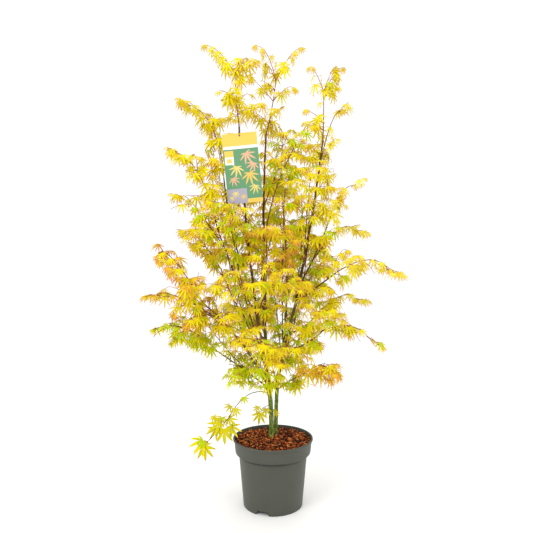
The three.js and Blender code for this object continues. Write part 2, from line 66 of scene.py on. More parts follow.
# The pot, its notches, and the tones of its plastic, with painted shade in a band of heights in metres under
# the ledge
POT_SIDES = 160
SHARP_EDGE = 32
FOOT_RADIUS = 103
NOTCH_FOOT = 46
NOTCH_HEAD = 37
NOTCH_HEIGHT = 14
NOTCH_REACH = (-34, 12)
NOTCH_TURNS = (-20, 100, 220)
POT_TONE = (71, 73, 63)
PAINTED_LEDGE_SHADE = (34, 34, 25)
LEDGE_SHADE_BAND = (0.157, 0.197)

# The soil, the bed that stands for it, and its bark chips, with the least of each measure and what is added
SOIL_EDGE = 221
SOIL_CROWN = 226
SOIL_CROWN_RADIUS = 78
SOIL_RADIUS = 133.4
BED_RINGS = 30
BED_SIDES = 96
BED_DROP = 4.6
BED_FLOOR = 196
CHIPS = 2000
CHIP_LENGTH = (8, 15)
CHIP_WIDTH = (1.9, 2.2)
CHIP_THICKNESS = (0.9, 1.8)
CHIP_LIFT = (0.5, 6.5)
CHIP_MARGIN = 3.5
CHIP_KINDS = (1, 1, 1, 2, 3, 4, 4, 5, 5)
CHIP_TONES = [
    # The bed stands for the soil; its near-black tone is painted shade in the gaps between the chips
    ("mulch_bed_painted_shade", (22, 8, 3), (40, 15, 5)),
    ("chip_black", (22, 6, 2), (46, 15, 4)),
    ("chip_dark", (62, 22, 8), (104, 42, 16)),
    ("chip_brown", (92, 38, 12), (140, 64, 24)),
    ("chip_red", (132, 54, 14), (182, 84, 28)),
    ("chip_orange", (182, 92, 34), (228, 150, 76)),
]

# Limbs: their swelling at the soil and at a fork, their joints and ridges, and the heights in metres between
# which green bark turns brown
STEM_BASE = 222
STEM_SWELL = (1.07, 0.05)
ROOT_FLARE = 0.16
ROOT_REACH = 20
FORK_FLARE = 0.3
FORK_REACH = 9
THIN_LIMB = 5.5
THIN_SHARE = 0.8
JOINT_SPACING = 62
JOINT_RISE = 0.45
JOINT_REACH = 2.6
RIDGE_DEPTH = 0.055
GREEN_TOP = (0.46, 0.74)

# Camera: the photograph's horizon and middle line lie a few pixels off the middle of its frame
CAMERA_PLACE = (0, -1.822, 0.845)
CAMERA_LENS = 35
CAMERA_SENSOR = 36
CAMERA_SHIFT = (-6.5 / 533, -4.3 / 533)
CAMERA_REACH = 50
EYE = np.array(CAMERA_PLACE) / MM
SKY_STRENGTH = 1.07
FLOOR_REACH = 24000

# Lobes of a leaf: the angle from its middle lobe, its length and its half width, as shares of the leaf
LOBES = (
    (-102, 0.44, 0.050),
    (-65, 0.76, 0.066),
    (-31, 0.94, 0.075),
    (0, 1.00, 0.079),
    (31, 0.94, 0.075),
    (65, 0.76, 0.066),
    (102, 0.44, 0.050),
)
LOBE_ROWS = ((0.46, 1.0), (0.76, 0.66))
# Its notches, its droop and fold, its radius and stalk, the turns that it tries aside and how far each degree
# of them lowers it, and how much broader the lobes of the leaves placed one by one are
LEAF_NOTCH = 0.2
OUTER_NOTCH = 0.75
HEART_NOTCH = 0.08
HEART_TURN = 30
LEAF_DROOP = 0.26
LEAF_FOLD = 0.35
LEAF_RADIUS = 52
PETIOLE = 26
LEAF_SWINGS = (0, 30, -30, 60, -60)
SWING_HANG = 0.004
BROAD_LEAF = 1.4

# Shoots: their steps, the radius of a tip, the share where the last pair of leaves grows, the radius of a
# mass's stem with twigs and without, and the length from which a twig branches
SHOOT_STEP = 12
SHOOT_TIP = 0.7
LAST_NODE = 0.97
MASS_RADIUS = 2.2
SPRIG_RADIUS = 1.3
BRANCHING_LENGTH = 95
# The room between two pairs of leaves, for each kind of shoot; on a mass's twigs it grows towards its tip
CLOTHED_ROOM = 35
TWIG_ROOM = (30, 10)
STEM_ROOM = 40
SPRAY_ROOM = 31
FILL_ROOM = 32

# The source's rule for side twigs
TWIG_STAGGER = 2.5
STEM_STEPS = 3


def limb(name, parent, at, via, tip, base_radius=3.8, tip_radius=2.8, base=None):
    return SimpleNamespace(name=name, parent=parent, at=at, via=via, tip=tip, r0=base_radius, r1=tip_radius,
                           base=base)


STEMS = [
    limb("front_stem", None, 0, (-7.5, 14, 330), (-17, 12, 425), 8.2, 7.2, (-6, 15, STEM_BASE)),
    limb("back_stem", None, 0, (12, 51, 325), (16, 50, 425), 6.8, 6.4, (10, 51, STEM_BASE)),
]
LEADERS = [
    limb("leader_middle", "front_stem", 1, (-35, 60, 850), (-25, 60, 1310), 6.4, 3),
    limb("leader_right", "back_stem", 1, (110, 10, 850), (175, 0, 1272), 6.6, 3),
    limb("leader_left", "front_stem", 0.92, (-80, -20, 850), (-115, -60, 1305), 5.6, 3),
    limb("leader_back", "back_stem", 0.93, (50, 110, 710), (35, 140, 1100), 5.2, 2.9),
]
BOUGHS = [
    limb("bough_left_upper", "leader_left", 0.36, (-138, 10, 930), (-180, 15, 1200)),
    limb("bough_left_high", "leader_left", 0.28, (-140, -70, 830), (-200, -80, 1010)),
    limb("bough_left_mid", "leader_middle", 0.16, (-130, 90, 680), (-195, 120, 820), 4),
    limb("bough_left_long", "front_stem", 0.88, (-120, -60, 585), (-230, -95, 705), 5),
    limb("bough_left_low", "front_stem", 0.86, (-95, 30, 455), (-200, 40, 525)),
    limb("bough_drooping", "front_stem", 0.78, (-86, -50, 391), (-145, -90, 328), 2.2, 1.5),
    limb("bough_right_high", "leader_right", 0.4, (145, -40, 870), (185, -50, 970)),
    limb("bough_right_long", "leader_right", 0.33, (145, -35, 755), (215, -60, 810), 4.2),
    limb("bough_right_mid", "leader_right", 0.2, (115, 65, 610), (160, 90, 655)),
    limb("bough_right_low", "leader_right", 0.12, (110, -50, 565), (165, -110, 620), 4),
    limb("bough_right_foot", "back_stem", 0.8, (60, -5, 430), (95, -45, 455), 3.4, 2.6),
    limb("bough_front_low", "front_stem", 0.72, (-20, -75, 450), (-25, -150, 540), 4),
    limb("bough_front_high", "leader_left", 0.2, (-45, -90, 680), (-20, -155, 745)),
    limb("bough_back_low", "back_stem", 0.85, (-15, 140, 490), (-50, 200, 570), 4),
    limb("bough_back_high", "leader_back", 0.35, (60, 190, 780), (70, 240, 850)),
]


# A mass of foliage as the source grows it, on the tip of the limb it is named after or on another, with the
# place its stem bends through where it arches over, its leaves' tints, and the share of its finer twigs
def mass(name, via, tip, spread, tints, fill=1.0, on=None, pairs=3, fork=35, size=1):
    parent, at = on or (name if name.startswith("leader") else "bough_" + name, 1)
    fork = fork if isinstance(fork, tuple) else (fork, fork)
    return SimpleNamespace(name="foliage_" + name, parent=parent, at=at, via=via, tip=tip, spread=spread,
                           pairs=pairs, fork=fork, size=size, tints=tints, fill=fill)


MASSES = [
    mass("leader_middle", (-2, 60, 1416), (11, 60, 1511), 75, "yellow", 0.3, fork=0, size=0.9),
    mass("leader_left", (-124, -60, 1397), (-129, -60, 1489), 75, "yellow", 0.3, fork=0, size=0.9),
    mass("leader_right", (178, 0, 1363), (178, 0, 1451), 65, "yellow", 0.25, fork=0, size=0.9),
    mass("leader_back", None, (40, 165, 1330), 85, "olive", 0.4, fork=(70, 80)),
    mass("left_upper", (-226, 5, 1340), (-303, 5, 1402), 70, "yellow", 0.2),
    mass("left_high", (-252, -90, 1146), (-322, -90, 1212), 75, "yellow", 0.5),
    mass("left_mid", (-283, 130, 936), (-334, 130, 957), 75, "yellow", 0.6),
    mass("left_long", (-334, -125, 862), (-380, -125, 858), 75, "rosy", 0.6),
    mass("left_low", (-316, 20, 611), (-427, 20, 605), 80, "lime", 0.8),
    mass("drooping", (-182, -95, 287), (-221, -108, 246), 0, "lime", pairs=0, fork=0, size=0.85),
    mass("right_high", (228, -60, 1074), (274, -60, 1106), 75, "pale", 0.5, pairs=2),
    mass("right_long", (318, -90, 853), (388, -90, 818), 75, "pale", 0.3),
    mass("right_mid", (264, 130, 721), (308, 130, 706), 75, "gold", 0.5, pairs=2),
    mass("right_low", (246, -155, 640), (310, -155, 600), 75, "gold", 0.6),
    mass("right_foot", (164, -85, 504), (186, -85, 490), 60, "rosy", 0.7, pairs=2),
    mass("front_low", None, (-30, -275, 600), 85, "gold", pairs=2, fork=45),
    mass("front_high", None, (10, -285, 815), 90, "gold", 0.6, pairs=2, fork=50),
    mass("back_low", None, (-80, 340, 650), 90, "lime", fork=50),
    mass("back_high", None, (90, 360, 960), 90, "yellow", 0.3, fork=50),
    mass("back_right", None, (225, 230, 870), 85, "olive", 0.2, on=("leader_right", 0.3), fork=50),
    mass("centre_high", None, (85, -90, 1275), 80, "olive", 0.2, on=("leader_middle", 0.7), fork=50),
    mass("right_inner", None, (120, -175, 1120), 80, "yellow", 0.2, on=("leader_right", 0.5), fork=50),
    mass("right_crest", (205, 45, 1332), (245, 60, 1398), 60, "pale", 0.4,
         on=("leader_right", 0.88), pairs=2),
    mass("right_bend", (240, 50, 964), (294, 50, 958), 75, "pale", 0.3,
         on=("bough_right_high", 0.45), pairs=2),
    mass("left_bend", (-280, -30, 1050), (-316, -30, 1068), 70, "gold", 0.6,
         on=("bough_left_high", 0.7), pairs=2),
    mass("left_reach", (-322, -50, 726), (-401, -50, 731), 75, "rosy", 0.6, on=("bough_left_long", 0.75)),
    mass("left_foot", None, (-150, -80, 500), 60, "lime", on=("bough_left_low", 0.35), pairs=2, fork=40),
    mass("left_front", None, (-150, -200, 1020), 85, "olive", 0.3, on=("leader_left", 0.55), fork=50),
    mass("centre_front", None, (5, -160, 950), 85, "rosy", 0.5, on=("leader_middle", 0.42), fork=50),
    mass("front_left", None, (-150, -235, 800), 85, "gold", 0.5, on=("bough_left_long", 0.45), fork=50),
    mass("front_right", None, (150, -235, 690), 80, "gold", 0.5,
         on=("bough_right_low", 0.6), pairs=2, fork=50),
    mass("back_crest", None, (-10, 280, 1130), 90, "yellow", 0.2, on=("leader_back", 0.7), fork=50),
    mass("back_left", None, (-160, 220, 1100), 85, "yellow", 0.2, on=("leader_middle", 0.5), fork=50),
    mass("back_foot", None, (90, 190, 500), 75, "lime", on=("bough_back_low", 0.45), pairs=2, fork=45),
    mass("low_sprig", None, (-43, -22, 332), 0, "lime", on=("front_stem", 0.57), pairs=0, fork=0, size=1.1),
]

# Finer boughs that the source leaves out, and the stretch of each limb that is clothed with short shoots:
# its first and last share, the room between two shoots, their length, and their tints
WHIPS = [
    limb("whip_left", "leader_left", 0.1, (-122, -75, 850), (-128, -80, 1045), 2.9, 1.5),
    limb("whip_middle", "leader_middle", 0.12, (-28, -30, 930), (78, -60, 1245), 3.2, 1.6),
    limb("whip_right", "leader_right", 0.1, (33, -30, 790), (41, -60, 1110), 3, 1.5),
    limb("whip_far_right", "leader_right", 0.15, (94, 40, 810), (104, 60, 1095), 3, 1.5),
    limb("whip_far_left", "leader_left", 0.08, (-130, 20, 740), (-182, 20, 1000), 2.8, 1.5),
    limb("whip_front", "leader_middle", 0.08, (-24, -60, 720), (-20, -105, 940), 2.8, 1.5),
    limb("whip_back", "leader_back", 0.1, (0, 120, 760), (-60, 150, 1000), 2.6, 1.4),
    limb("whip_back_right", "leader_right", 0.05, (110, 85, 770), (134, 110, 1065), 3, 1.5),
    limb("whip_left_low", "bough_left_low", 0.3, (-158, -50, 548), (-230, -60, 642), 2.4, 1.3),
    limb("whip_left_mid", "leader_left", 0.02, (-95, -75, 560), (-242, -95, 690), 2.8, 1.4),
]
CLOTHED = {
    "whip_left_low": (0.7, 1, 50, 55, "lime"),
    "whip_left_mid": (0.75, 1, 50, 55, "olive"),
    "leader_middle": (0.1, 0.86, 56, 85, "olive"),
    "leader_right": (0.1, 0.9, 56, 80, "olive"),
    "leader_left": (0.08, 0.82, 52, 80, "olive"),
    "leader_back": (0.15, 0.95, 48, 90, "olive"),
    "bough_left_upper": (0.2, 0.95, 48, 75, "yellow"),
    "bough_left_high": (0.2, 0.95, 44, 75, "olive"),
    "bough_left_mid": (0.2, 0.95, 40, 80, "olive"),
    "bough_left_long": (0.15, 0.95, 38, 75, "gold"),
    "bough_left_low": (0.2, 0.95, 34, 75, "lime"),
    "bough_right_high": (0.2, 0.95, 40, 75, "olive"),
    "bough_right_long": (0.2, 0.95, 36, 75, "gold"),
    "bough_right_mid": (0.2, 0.95, 36, 75, "olive"),
    "bough_right_low": (0.15, 0.95, 44, 65, "lime"),
    "bough_right_foot": (0.2, 0.95, 30, 55, "lime"),
    "bough_front_low": (0.15, 0.95, 24, 60, "lime"),
    "bough_front_high": (0.2, 0.95, 50, 70, "olive"),
    "bough_back_low": (0.2, 0.95, 36, 75, "lime"),
    "bough_back_high": (0.2, 0.95, 40, 75, "olive"),
    "whip_left": (0.2, 1, 40, 70, "olive"),
    "whip_middle": (0.75, 1, 52, 75, "yellow"),
    "whip_right": (0.3, 1, 52, 75, "olive"),
    "whip_far_right": (0.3, 1, 50, 75, "olive"),
    "whip_far_left": (0.2, 1, 40, 75, "gold"),
    "whip_front": (0.3, 1, 48, 70, "gold"),
    "whip_back": (0.2, 1, 44, 75, "olive"),
    "whip_back_right": (0.2, 1, 40, 75, "lime"),
}

# Long shoots towards the crown's outline: what they grow from and at which share, their bend, tip and tints
SPRAYS = [
    ("foliage_leader_left", 0.97, (-180, -60, 1556), (-226, -60, 1582), "yellow"),
    ("foliage_leader_left", 0.97, (-111, -60, 1512), (-98, -60, 1536), "yellow"),
    ("foliage_leader_middle", 0.97, (-22, 60, 1600), (-60, 60, 1631), "yellow"),
    ("foliage_leader_middle", 0.97, (58, 60, 1588), (97, 60, 1623), "yellow"),
    ("foliage_leader_right", 0.97, (155, 0, 1502), (138, 0, 1528), "gold"),
    ("foliage_leader_right", 0.97, (215, 0, 1502), (240, 0, 1528), "gold"),
    ("foliage_leader_left", 0.5, (-160, -60, 1424), (-179, -60, 1422), "yellow"),
    ("foliage_leader_left", 0.45, (-92, -50, 1420), (-79, -50, 1417), "yellow"),
    ("foliage_leader_middle", 0.6, (-51, 60, 1489), (-74, 60, 1508), "yellow"),
    ("foliage_leader_middle", 0.6, (51, 60, 1478), (73, 60, 1476), "yellow"),
    ("foliage_leader_middle", 0.3, (29, 40, 1399), (41, 40, 1405), "yellow"),
    ("foliage_leader_right", 0.4, (133, -10, 1370), (114, -10, 1377), "yellow"),
    ("leader_right", 0.86, (206, 20, 1267), (230, 20, 1278), "gold"),
    ("leader_right", 0.82, (191, -20, 1197), (205, -20, 1189), "gold"),
    ("leader_right", 0.76, (198, 10, 1168), (214, 10, 1164), "gold"),
    ("bough_right_high", 0.9, (224, -40, 1066), (242, -40, 1045), "gold"),
    ("bough_right_long", 0.8, (227, -70, 876), (251, -70, 883), "yellow"),
    ("bough_right_low", 0.6, (150, -90, 575), (176, -90, 562), "gold"),
    ("bough_right_foot", 0.6, (130, 0, 417), (155, 0, 400), "lime"),
    ("bough_left_long", 0.95, (-347, -110, 829), (-388, -110, 843), "rosy"),
    ("bough_left_long", 0.9, (-315, -70, 751), (-362, -70, 757), "gold"),
    ("bough_left_low", 0.7, (-282, 50, 560), (-376, 50, 551), "lime"),
    ("bough_left_low", 0.25, (-125, -20, 477), (-157, -20, 453), "lime"),
    ("bough_left_mid", 0.9, (-278, 100, 898), (-344, 100, 917), "gold"),
    ("foliage_left_upper", 0.5, (-212, 5, 1354), (-219, 5, 1369), "yellow"),
    ("foliage_left_high", 0.6, (-257, -90, 1193), (-263, -90, 1204), "yellow"),
    ("bough_left_upper", 0.6, (-231, 20, 1219), (-237, 20, 1229), "olive"),
    ("bough_left_upper", 0.85, (-208, 0, 1299), (-227, 0, 1294), "yellow"),
]

# Leaves placed one by one on the two lowest shoots and the back stem: where stalk and blade meet, radius,
# turn to the right from hanging straight down and lean towards the front in degrees, and tints
SINGLE_LEAVES = [
    (-98, -80, 391, 27, 10, 20, "low"), (-143, -85, 364, 31, -40, 62, "low"),
    (-125, -90, 355, 32, 8, 10, "low"), (-53, -30, 346, 26, -12, 15, "low"),
    (-25, -10, 333, 31, 0, 25, "low"), (-45, -25, 322, 46, -8, 5, "low"),
    (-199, -95, 332, 27, 25, 30, "low"), (-170, -85, 325, 34, -8, 30, "low"),
    (-150, -85, 322, 38, 55, 25, "low"), (-175, -100, 311, 50, -62, 30, "low"),
    (-188, -90, 290, 44, -34, 30, "low"), (-162, -105, 292, 58, 2, 5, "low"),
    (-142, -85, 296, 46, 38, 30, "low"), (-227, -112, 240, 56, 5, 5, "low"),
    (-231, -105, 254, 60, -40, 58, "gold"), (4, 32, 318, 19, 8, 60, "gold"),
    (8, 30, 307, 21, 55, 35, "gold"),
]
SINGLE_PARENTS = ("bough_drooping", "foliage_drooping", "foliage_low_sprig", "back_stem")

# Leafy places that shoots are led to, seen from the front: x and z beside the trunk, and tints
FILLS = [
    (-220, 1150, "yellow"), (-190, 1195, "yellow"), (-215, 1270, "yellow"), (-155, 885, "olive"),
    (-115, 1555, "yellow"), (-65, 1555, "yellow"), (-20, 1540, "yellow"), (215, 1530, "yellow"),
    (-180, 1350, "yellow"), (-125, 1350, "yellow"), (0, 1315, "yellow"), (20, 1245, "yellow"),
    (185, 1225, "yellow"), (90, 1220, "yellow"), (-265, 1215, "yellow"), (235, 1105, "gold"),
    (135, 1100, "gold"), (65, 1050, "olive"), (-230, 1020, "olive"), (-275, 990, "olive"),
    (-260, 795, "rosy"), (250, 790, "gold"), (-220, 720, "olive"), (100, 640, "gold"),
    (-420, 610, "lime"), (305, 605, "gold"), (15, 590, "olive"), (-185, 560, "lime"), (75, 425, "lime"),
    (-135, 1345, "yellow"), (65, 1225, "yellow"), (120, 1215, "yellow"), (65, 1045, "olive"),
    (-340, 860, "rosy"), (220, 780, "gold"), (-225, 720, "olive"), (-360, 630, "lime"), (25, 590, "olive"),
    (-5, 1300, "yellow"), (-365, 885, "rosy"), (115, 870, "gold"), (-155, 855, "olive"), (170, 735, "gold"),
    (25, 725, "olive"), (-250, 620, "olive"), (50, 605, "olive"), (-175, 565, "lime"),
]

# Round openings where the sky shows through the crown, seen from the front: x, z and radius beside the trunk
OPENINGS = np.array([
    (50, 1550, 21), (-50, 1512, 21), (-165, 1490, 26), (-205, 1485, 39), (30, 1480, 26), (40, 1480, 26),
    (-55, 1465, 18), (155, 1435, 18), (262, 1435, 30), (-25, 1425, 21), (-100, 1420, 26), (20, 1415, 18),
    (-195, 1412, 26), (5, 1410, 21), (-220, 1400, 39), (195, 1395, 21), (-190, 1385, 26), (68, 1360, 42),
    (185, 1360, 21), (-345, 1350, 36), (10, 1350, 21), (10, 1335, 21), (195, 1330, 21), (245, 1325, 36),
    (-300, 1310, 36), (-265, 1255, 39), (245, 1225, 49), (-392, 1204, 28), (210, 1190, 26),
    (195, 1170, 18), (-350, 1150, 49), (245, 1145, 32), (-260, 1105, 26), (-305, 1090, 26),
    (280, 1090, 22), (328, 1075, 39), (265, 1070, 26), (-362, 1038, 20), (295, 1015, 39),
    (-295, 1005, 32), (-365, 1000, 40), (230, 1000, 21), (258, 1003, 30), (325, 988, 26),
    (-355, 930, 32), (275, 908, 28), (225, 915, 21), (210, 900, 26), (210, 895, 26), (340, 895, 39),
    (-315, 885, 32), (425, 885, 39), (-445, 855, 32), (415, 855, 32), (-265, 840, 39), (-245, 820, 26),
    (-220, 815, 21), (-420, 795, 49), (-210, 790, 18), (340, 775, 49), (-375, 765, 21), (-345, 765, 21),
    (420, 765, 30), (-340, 760, 21), (-340, 745, 21), (235, 745, 21), (318, 748, 30),
    (-455, 682, 30), (240, 690, 18), (255, 685, 21), (-410, 660, 49), (25, 650, 18), (385, 640, 32),
    (300, 635, 26), (350, 605, 32), (-460, 595, 32), (185, 580, 26), (-375, 570, 21), (325, 560, 21),
    (220, 550, 49), (-415, 545, 49), (300, 545, 39), (-310, 520, 32), (350, 520, 32), (-260, 515, 32),
    (-150, 485, 18), (-205, 480, 49), (262, 470, 26), (275, 445, 32), (125, 385, 49), (-55, 365, 32),
    (-165, 355, 39),
])
# The most of a leaf or shoot that may be seen in an opening, and the share of the leaves that keep clear of
# the leaders, the finer boughs and the bare boughs, as seen from the front, and by how far
OPEN_SHARE = 0.18
OPEN_SHARE_AT_TIPS = 0.5
OPEN_SHARE_OF_SHOOT = 0.6
BARE_SHARE = 0.5
BARE_REACH = 7
BARE_BOUGHS = ["bough_left_long", "bough_left_low", "bough_left_mid"]

# Leaf tints, as the colours seen, and how each kind of foliage deals them: the blade's inner part, its
# middle and the tips of its lobes, for old leaves first and the youngest last
TINTS = {
    "lemon": (238, 222, 62),
    "yellow": (224, 209, 2),
    "lime": (188, 204, 0),
    "green": (128, 156, 2),
    "straw": (200, 191, 2),
    "gold": (228, 192, 32),
    "amber": (206, 154, 28),
    "orange": (230, 160, 58),
    "rose": (216, 130, 82),
}
DEALS = {name: [deal.split() for deal in deals.split(", ")] for name, deals in {
    "yellow": "straw yellow gold, yellow yellow gold, yellow yellow orange, yellow gold orange",
    "pale": "lime yellow gold, yellow lemon gold, lemon lemon gold, lemon gold orange",
    "olive": "green lime yellow, lime lime yellow, lime yellow orange, yellow gold orange",
    "lime": "green lime lime, lime lime yellow, lime yellow yellow, lime yellow gold",
    "low": "lime straw straw, straw straw straw, straw straw gold, straw straw amber",
    "gold": "lime yellow yellow, lime yellow gold, yellow yellow orange, yellow gold orange",
    "rosy": "lime yellow gold, yellow yellow orange, yellow gold orange, gold orange rose",
}.items()}

# Label card: its size, its hole, its lean to the left in degrees, its corners and curl, the upright cuts that
# let it curl, and the room that leaves keep beside, above and below it
CARD_SIZE = (118, 0.8, 237)
CARD_HOLE = (-114, -73, 1272)
CARD_HOLE_DROP = 9
CARD_HOLE_RADIUS = 3
CARD_LEAN = 5.6
CARD_CORNER = 3
CARD_CURL = 1.5
CARD_CUTS = {-45, -15, 25, 45}
CARD_ROOM = (16, 8, 6)
PRINT_LIFT = 0.06
# Plain fields of its front: left, right, low, high and material; then leaf shapes: x, z, turn, size, tint
CARD_FIELDS = [
    (-70, 70, -240, -44, 2), (-70, 70, -34, 20, 0), (-70, 70, -44, -34, 1), (-56, -26, -70, -49, 0),
    (-56, -26, -96, -70, 1), (-49, -33, -90, -76, 0), (-70, 8, -240, -178, 3), (8, 70, -240, -214, 0),
]
CARD_LEAVES = [
    (16, -60, 205, 44, 0), (40, -96, 150, 34, 0), (-18, -104, 170, 40, 1), (22, -128, 190, 46, 2),
    (-34, -142, 200, 30, 0), (39, -172, 160, 32, 1), (-30, -190, 175, 22, 1), (-8, -202, 215, 18, 2),
    (-42, -206, 140, 16, 1),
]
CARD_INKS = {
    "yellow": (236, 194, 84), "white": (240, 238, 232), "green": (92, 146, 104), "lilac": (164, 160, 176),
}
LEAF_INKS = {"peach": (226, 172, 136), "cream": (226, 204, 116), "gold": (226, 188, 90)}
# The loop: its radius, its room and height at the leader, and its places round the leader as degrees and rise
TIE_WIRE = 0.9
TIE_CLEARANCE = 0.25
TIE_RISE = 8
TIE_TURNS = ((195, 3), (143, 1.5), (90, 0), (37, -1.5), (-15, -3))

# A piece of leaves is closed at this many faces, each of one or two triangles
MOST_FACES = 150000


# From the colours seen to linear light
def linear(channel):
    share = channel / 255
    return share / 12.92 if share <= 0.04045 else ((share + 0.055) / 1.055) ** 2.4


def colour(rgb):
    return (*[linear(channel) for channel in rgb], 1)


# Seeded numbers from 0 to 1, the same on each run, as in the source
def seeded(seed):
    state = (seed * 7919 + 104729) % 4294967296

    def draw():
        nonlocal state
        state = (state * 1664525 + 1013904223) % 4294967296
        return state / 4294967296

    return draw


def unit(v):
    return v / norm(v)


# A place in a plane, turned by an angle in degrees
def turned_by(degrees, x, y):
    c, s = cos(radians(degrees)), sin(radians(degrees))
    return x * c - y * s, x * s + y * c


def on_circle(r, turn):
    return r * cos(turn), r * sin(turn)


# Two unit vectors square to a direction, the first as level as can be
def square_to(direction):
    level = np.cross(direction, UP)
    if norm(level) < NEAR_UPRIGHT:
        level = np.array([1.0, 0.0, 0.0]) - direction * direction[0]
    level = unit(level)
    return level, unit(np.cross(level, direction))


# A unit vector square to a direction, at a turn from its level side
def around(direction, turn):
    level, high = square_to(direction)
    return level * cos(turn) + high * sin(turn)


# A quadratic curve that is read at shares of its length
class Path:
    def __init__(self, start, bend, end):
        self.corners = [np.array(p, float) for p in (start, bend, end)]
        self.steps = np.linspace(0, 1, PATH_STEPS)
        run = norm(np.diff(self.raw(self.steps), axis=0), axis=1)
        self.lengths = np.concatenate([[0], np.cumsum(run)])
        self.length = self.lengths[-1]

    def raw(self, t):
        t = np.atleast_1d(t)[:, None]
        a, b, c = self.corners
        return (1 - t) ** 2 * a + 2 * t * (1 - t) * b + t * t * c

    def place(self, share):
        return np.interp(np.atleast_1d(share) * self.length, self.lengths, self.steps)

    def points(self, shares):
        return self.raw(self.place(shares))

    def at(self, share):
        return self.points(share)[0]

    def heading(self, share):
        t = self.place(share)[0]
        a, b, c = self.corners
        return unit(2 * (1 - t) * (b - a) + 2 * t * (c - b))


def path_through(start, via, end):
    start, via, end = (np.array(p, float) for p in (start, via, end))
    return Path(start, 2 * via - 0.5 * start - 0.5 * end, end)


# The faces of a closed tube, from the number of its rings and the corners in each
def tube_faces(rings, sides):
    faces = []
    for i in range(rings - 1):
        for k in range(sides):
            a, b = i * sides + k, i * sides + (k + 1) % sides
            faces.append((a, b, b + sides, a + sides))
    last = (rings - 1) * sides
    return faces + [tuple(range(sides - 1, -1, -1)), tuple(range(last, last + sides))]


# The corners, faces and material numbers of one joined piece, gathered in millimetres
class Skin:
    def __init__(self):
        self.spots = []
        self.faces = []
        self.slots = []
        self.count = 0

    def add(self, spots, faces, slots=0):
        first = self.count
        self.spots.append(np.asarray(spots, float))
        self.faces.extend([tuple(i + first for i in face) for face in faces])
        self.slots.extend([slots] * len(faces) if isinstance(slots, int) else slots)
        self.count += len(spots)

    # A closed tube through points, with one radius for each point or one for each of its corners
    def tube(self, points, radii, sides, slot=0):
        points = np.asarray(points, float)
        ahead = np.gradient(points, axis=0)
        across = square_to(unit(ahead[0]))[0]
        turns = 2 * pi * np.arange(sides) / sides
        rings = []
        for i, point in enumerate(points):
            way = unit(ahead[i])
            across = unit(across - way * across.dot(way))
            third = np.cross(way, across)
            reach = np.broadcast_to(radii[i], (sides,))[:, None]
            rings.append(point + reach * (np.outer(np.cos(turns), across) + np.outer(np.sin(turns), third)))
        self.add(np.concatenate(rings), tube_faces(len(points), sides), slot)

    def piece(self, name, materials, smooth=True):
        mesh = bpy.data.meshes.new(name)
        mesh.from_pydata((np.concatenate(self.spots) * MM).tolist(), [], self.faces)
        for material in materials:
            mesh.materials.append(material)
        mesh.polygons.foreach_set("material_index", self.slots)
        mesh.polygons.foreach_set("use_smooth", [smooth] * len(self.faces))
        mesh.update()
        return link(name, mesh)


def link(name, data):
    obj = bpy.data.objects.new(name, data)
    bpy.context.scene.collection.objects.link(obj)
    return obj


def dress(obj, slot, *nodes):
    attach(obj, "root")
    if nodes:
        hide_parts(*nodes)
    return obj


# Materials
def new_material(name, rgb, roughness, specular=0.5):
    material = bpy.data.materials.new(name)
    material.use_nodes = True
    shader = material.node_tree.nodes["Principled BSDF"]
    shader.inputs["Base Color"].default_value = colour(rgb)
    shader.inputs["Roughness"].default_value = roughness
    shader.inputs["Specular IOR Level"].default_value = specular
    material.diffuse_color = colour(rgb)
    return material, material.node_tree, shader


# A new node, with a value or the output of another node for each input that is named
def add_node(tree, kind, **inputs):
    node = tree.nodes.new("ShaderNode" + kind)
    for name, value in inputs.items():
        socket = node.inputs[name.replace("_", " ")]
        if isinstance(value, bpy.types.NodeSocket):
            tree.links.new(value, socket)
        else:
            socket.default_value = value
    return node


# Where a point lies on its object, in metres, with its height scaled
def place_node(tree, stretch=1):
    where = add_node(tree, "TexCoord").outputs["Object"]
    return add_node(tree, "Mapping", Vector=where, Scale=(1, 1, stretch)).outputs["Vector"]


def noise_node(tree, scale, detail=3.0, stretch=1):
    where = place_node(tree, stretch)
    return add_node(tree, "TexNoise", Vector=where, Scale=scale, Detail=detail).outputs["Fac"]


def ramp_node(tree, value, stops):
    node = add_node(tree, "ValToRGB", Fac=value)
    ramp = node.color_ramp
    while len(ramp.elements) < len(stops):
        ramp.elements.new(0.5)
    for element, (place, rgb) in zip(ramp.elements, stops):
        element.position = place
        element.color = colour(rgb)
    return node.outputs["Color"]


# Relief from noise of a scale, with its depth in millimetres
def bump_node(tree, shader, scale, depth, strength, detail=3.0, stretch=1):
    height = noise_node(tree, scale, detail, stretch)
    node = add_node(tree, "Bump", Strength=strength, Distance=depth * MM, Height=height)
    tree.links.new(node.outputs["Normal"], shader.inputs["Normal"])


# From 0 to 1 between two heights in metres
def height_node(tree, low, high):
    height = add_node(tree, "SeparateXYZ", Vector=place_node(tree)).outputs["Z"]
    return add_node(tree, "MapRange", Value=height, From_Min=low, From_Max=high).outputs["Result"]


def mix_node(tree, blend, factor, first, second):
    mix = add_node(tree, "Mix", Factor=factor)
    mix.data_type = "RGBA"
    mix.blend_type = blend
    tree.links.new(first, mix.inputs[6])
    tree.links.new(second, mix.inputs[7])
    return mix.outputs[2]


def leaf_material(name, rgb):
    material, tree, shader = new_material("leaf_" + name, rgb, roughness=0.6, specular=0.15)
    bump_node(tree, shader, scale=420, depth=0.25, strength=0.6)
    return material
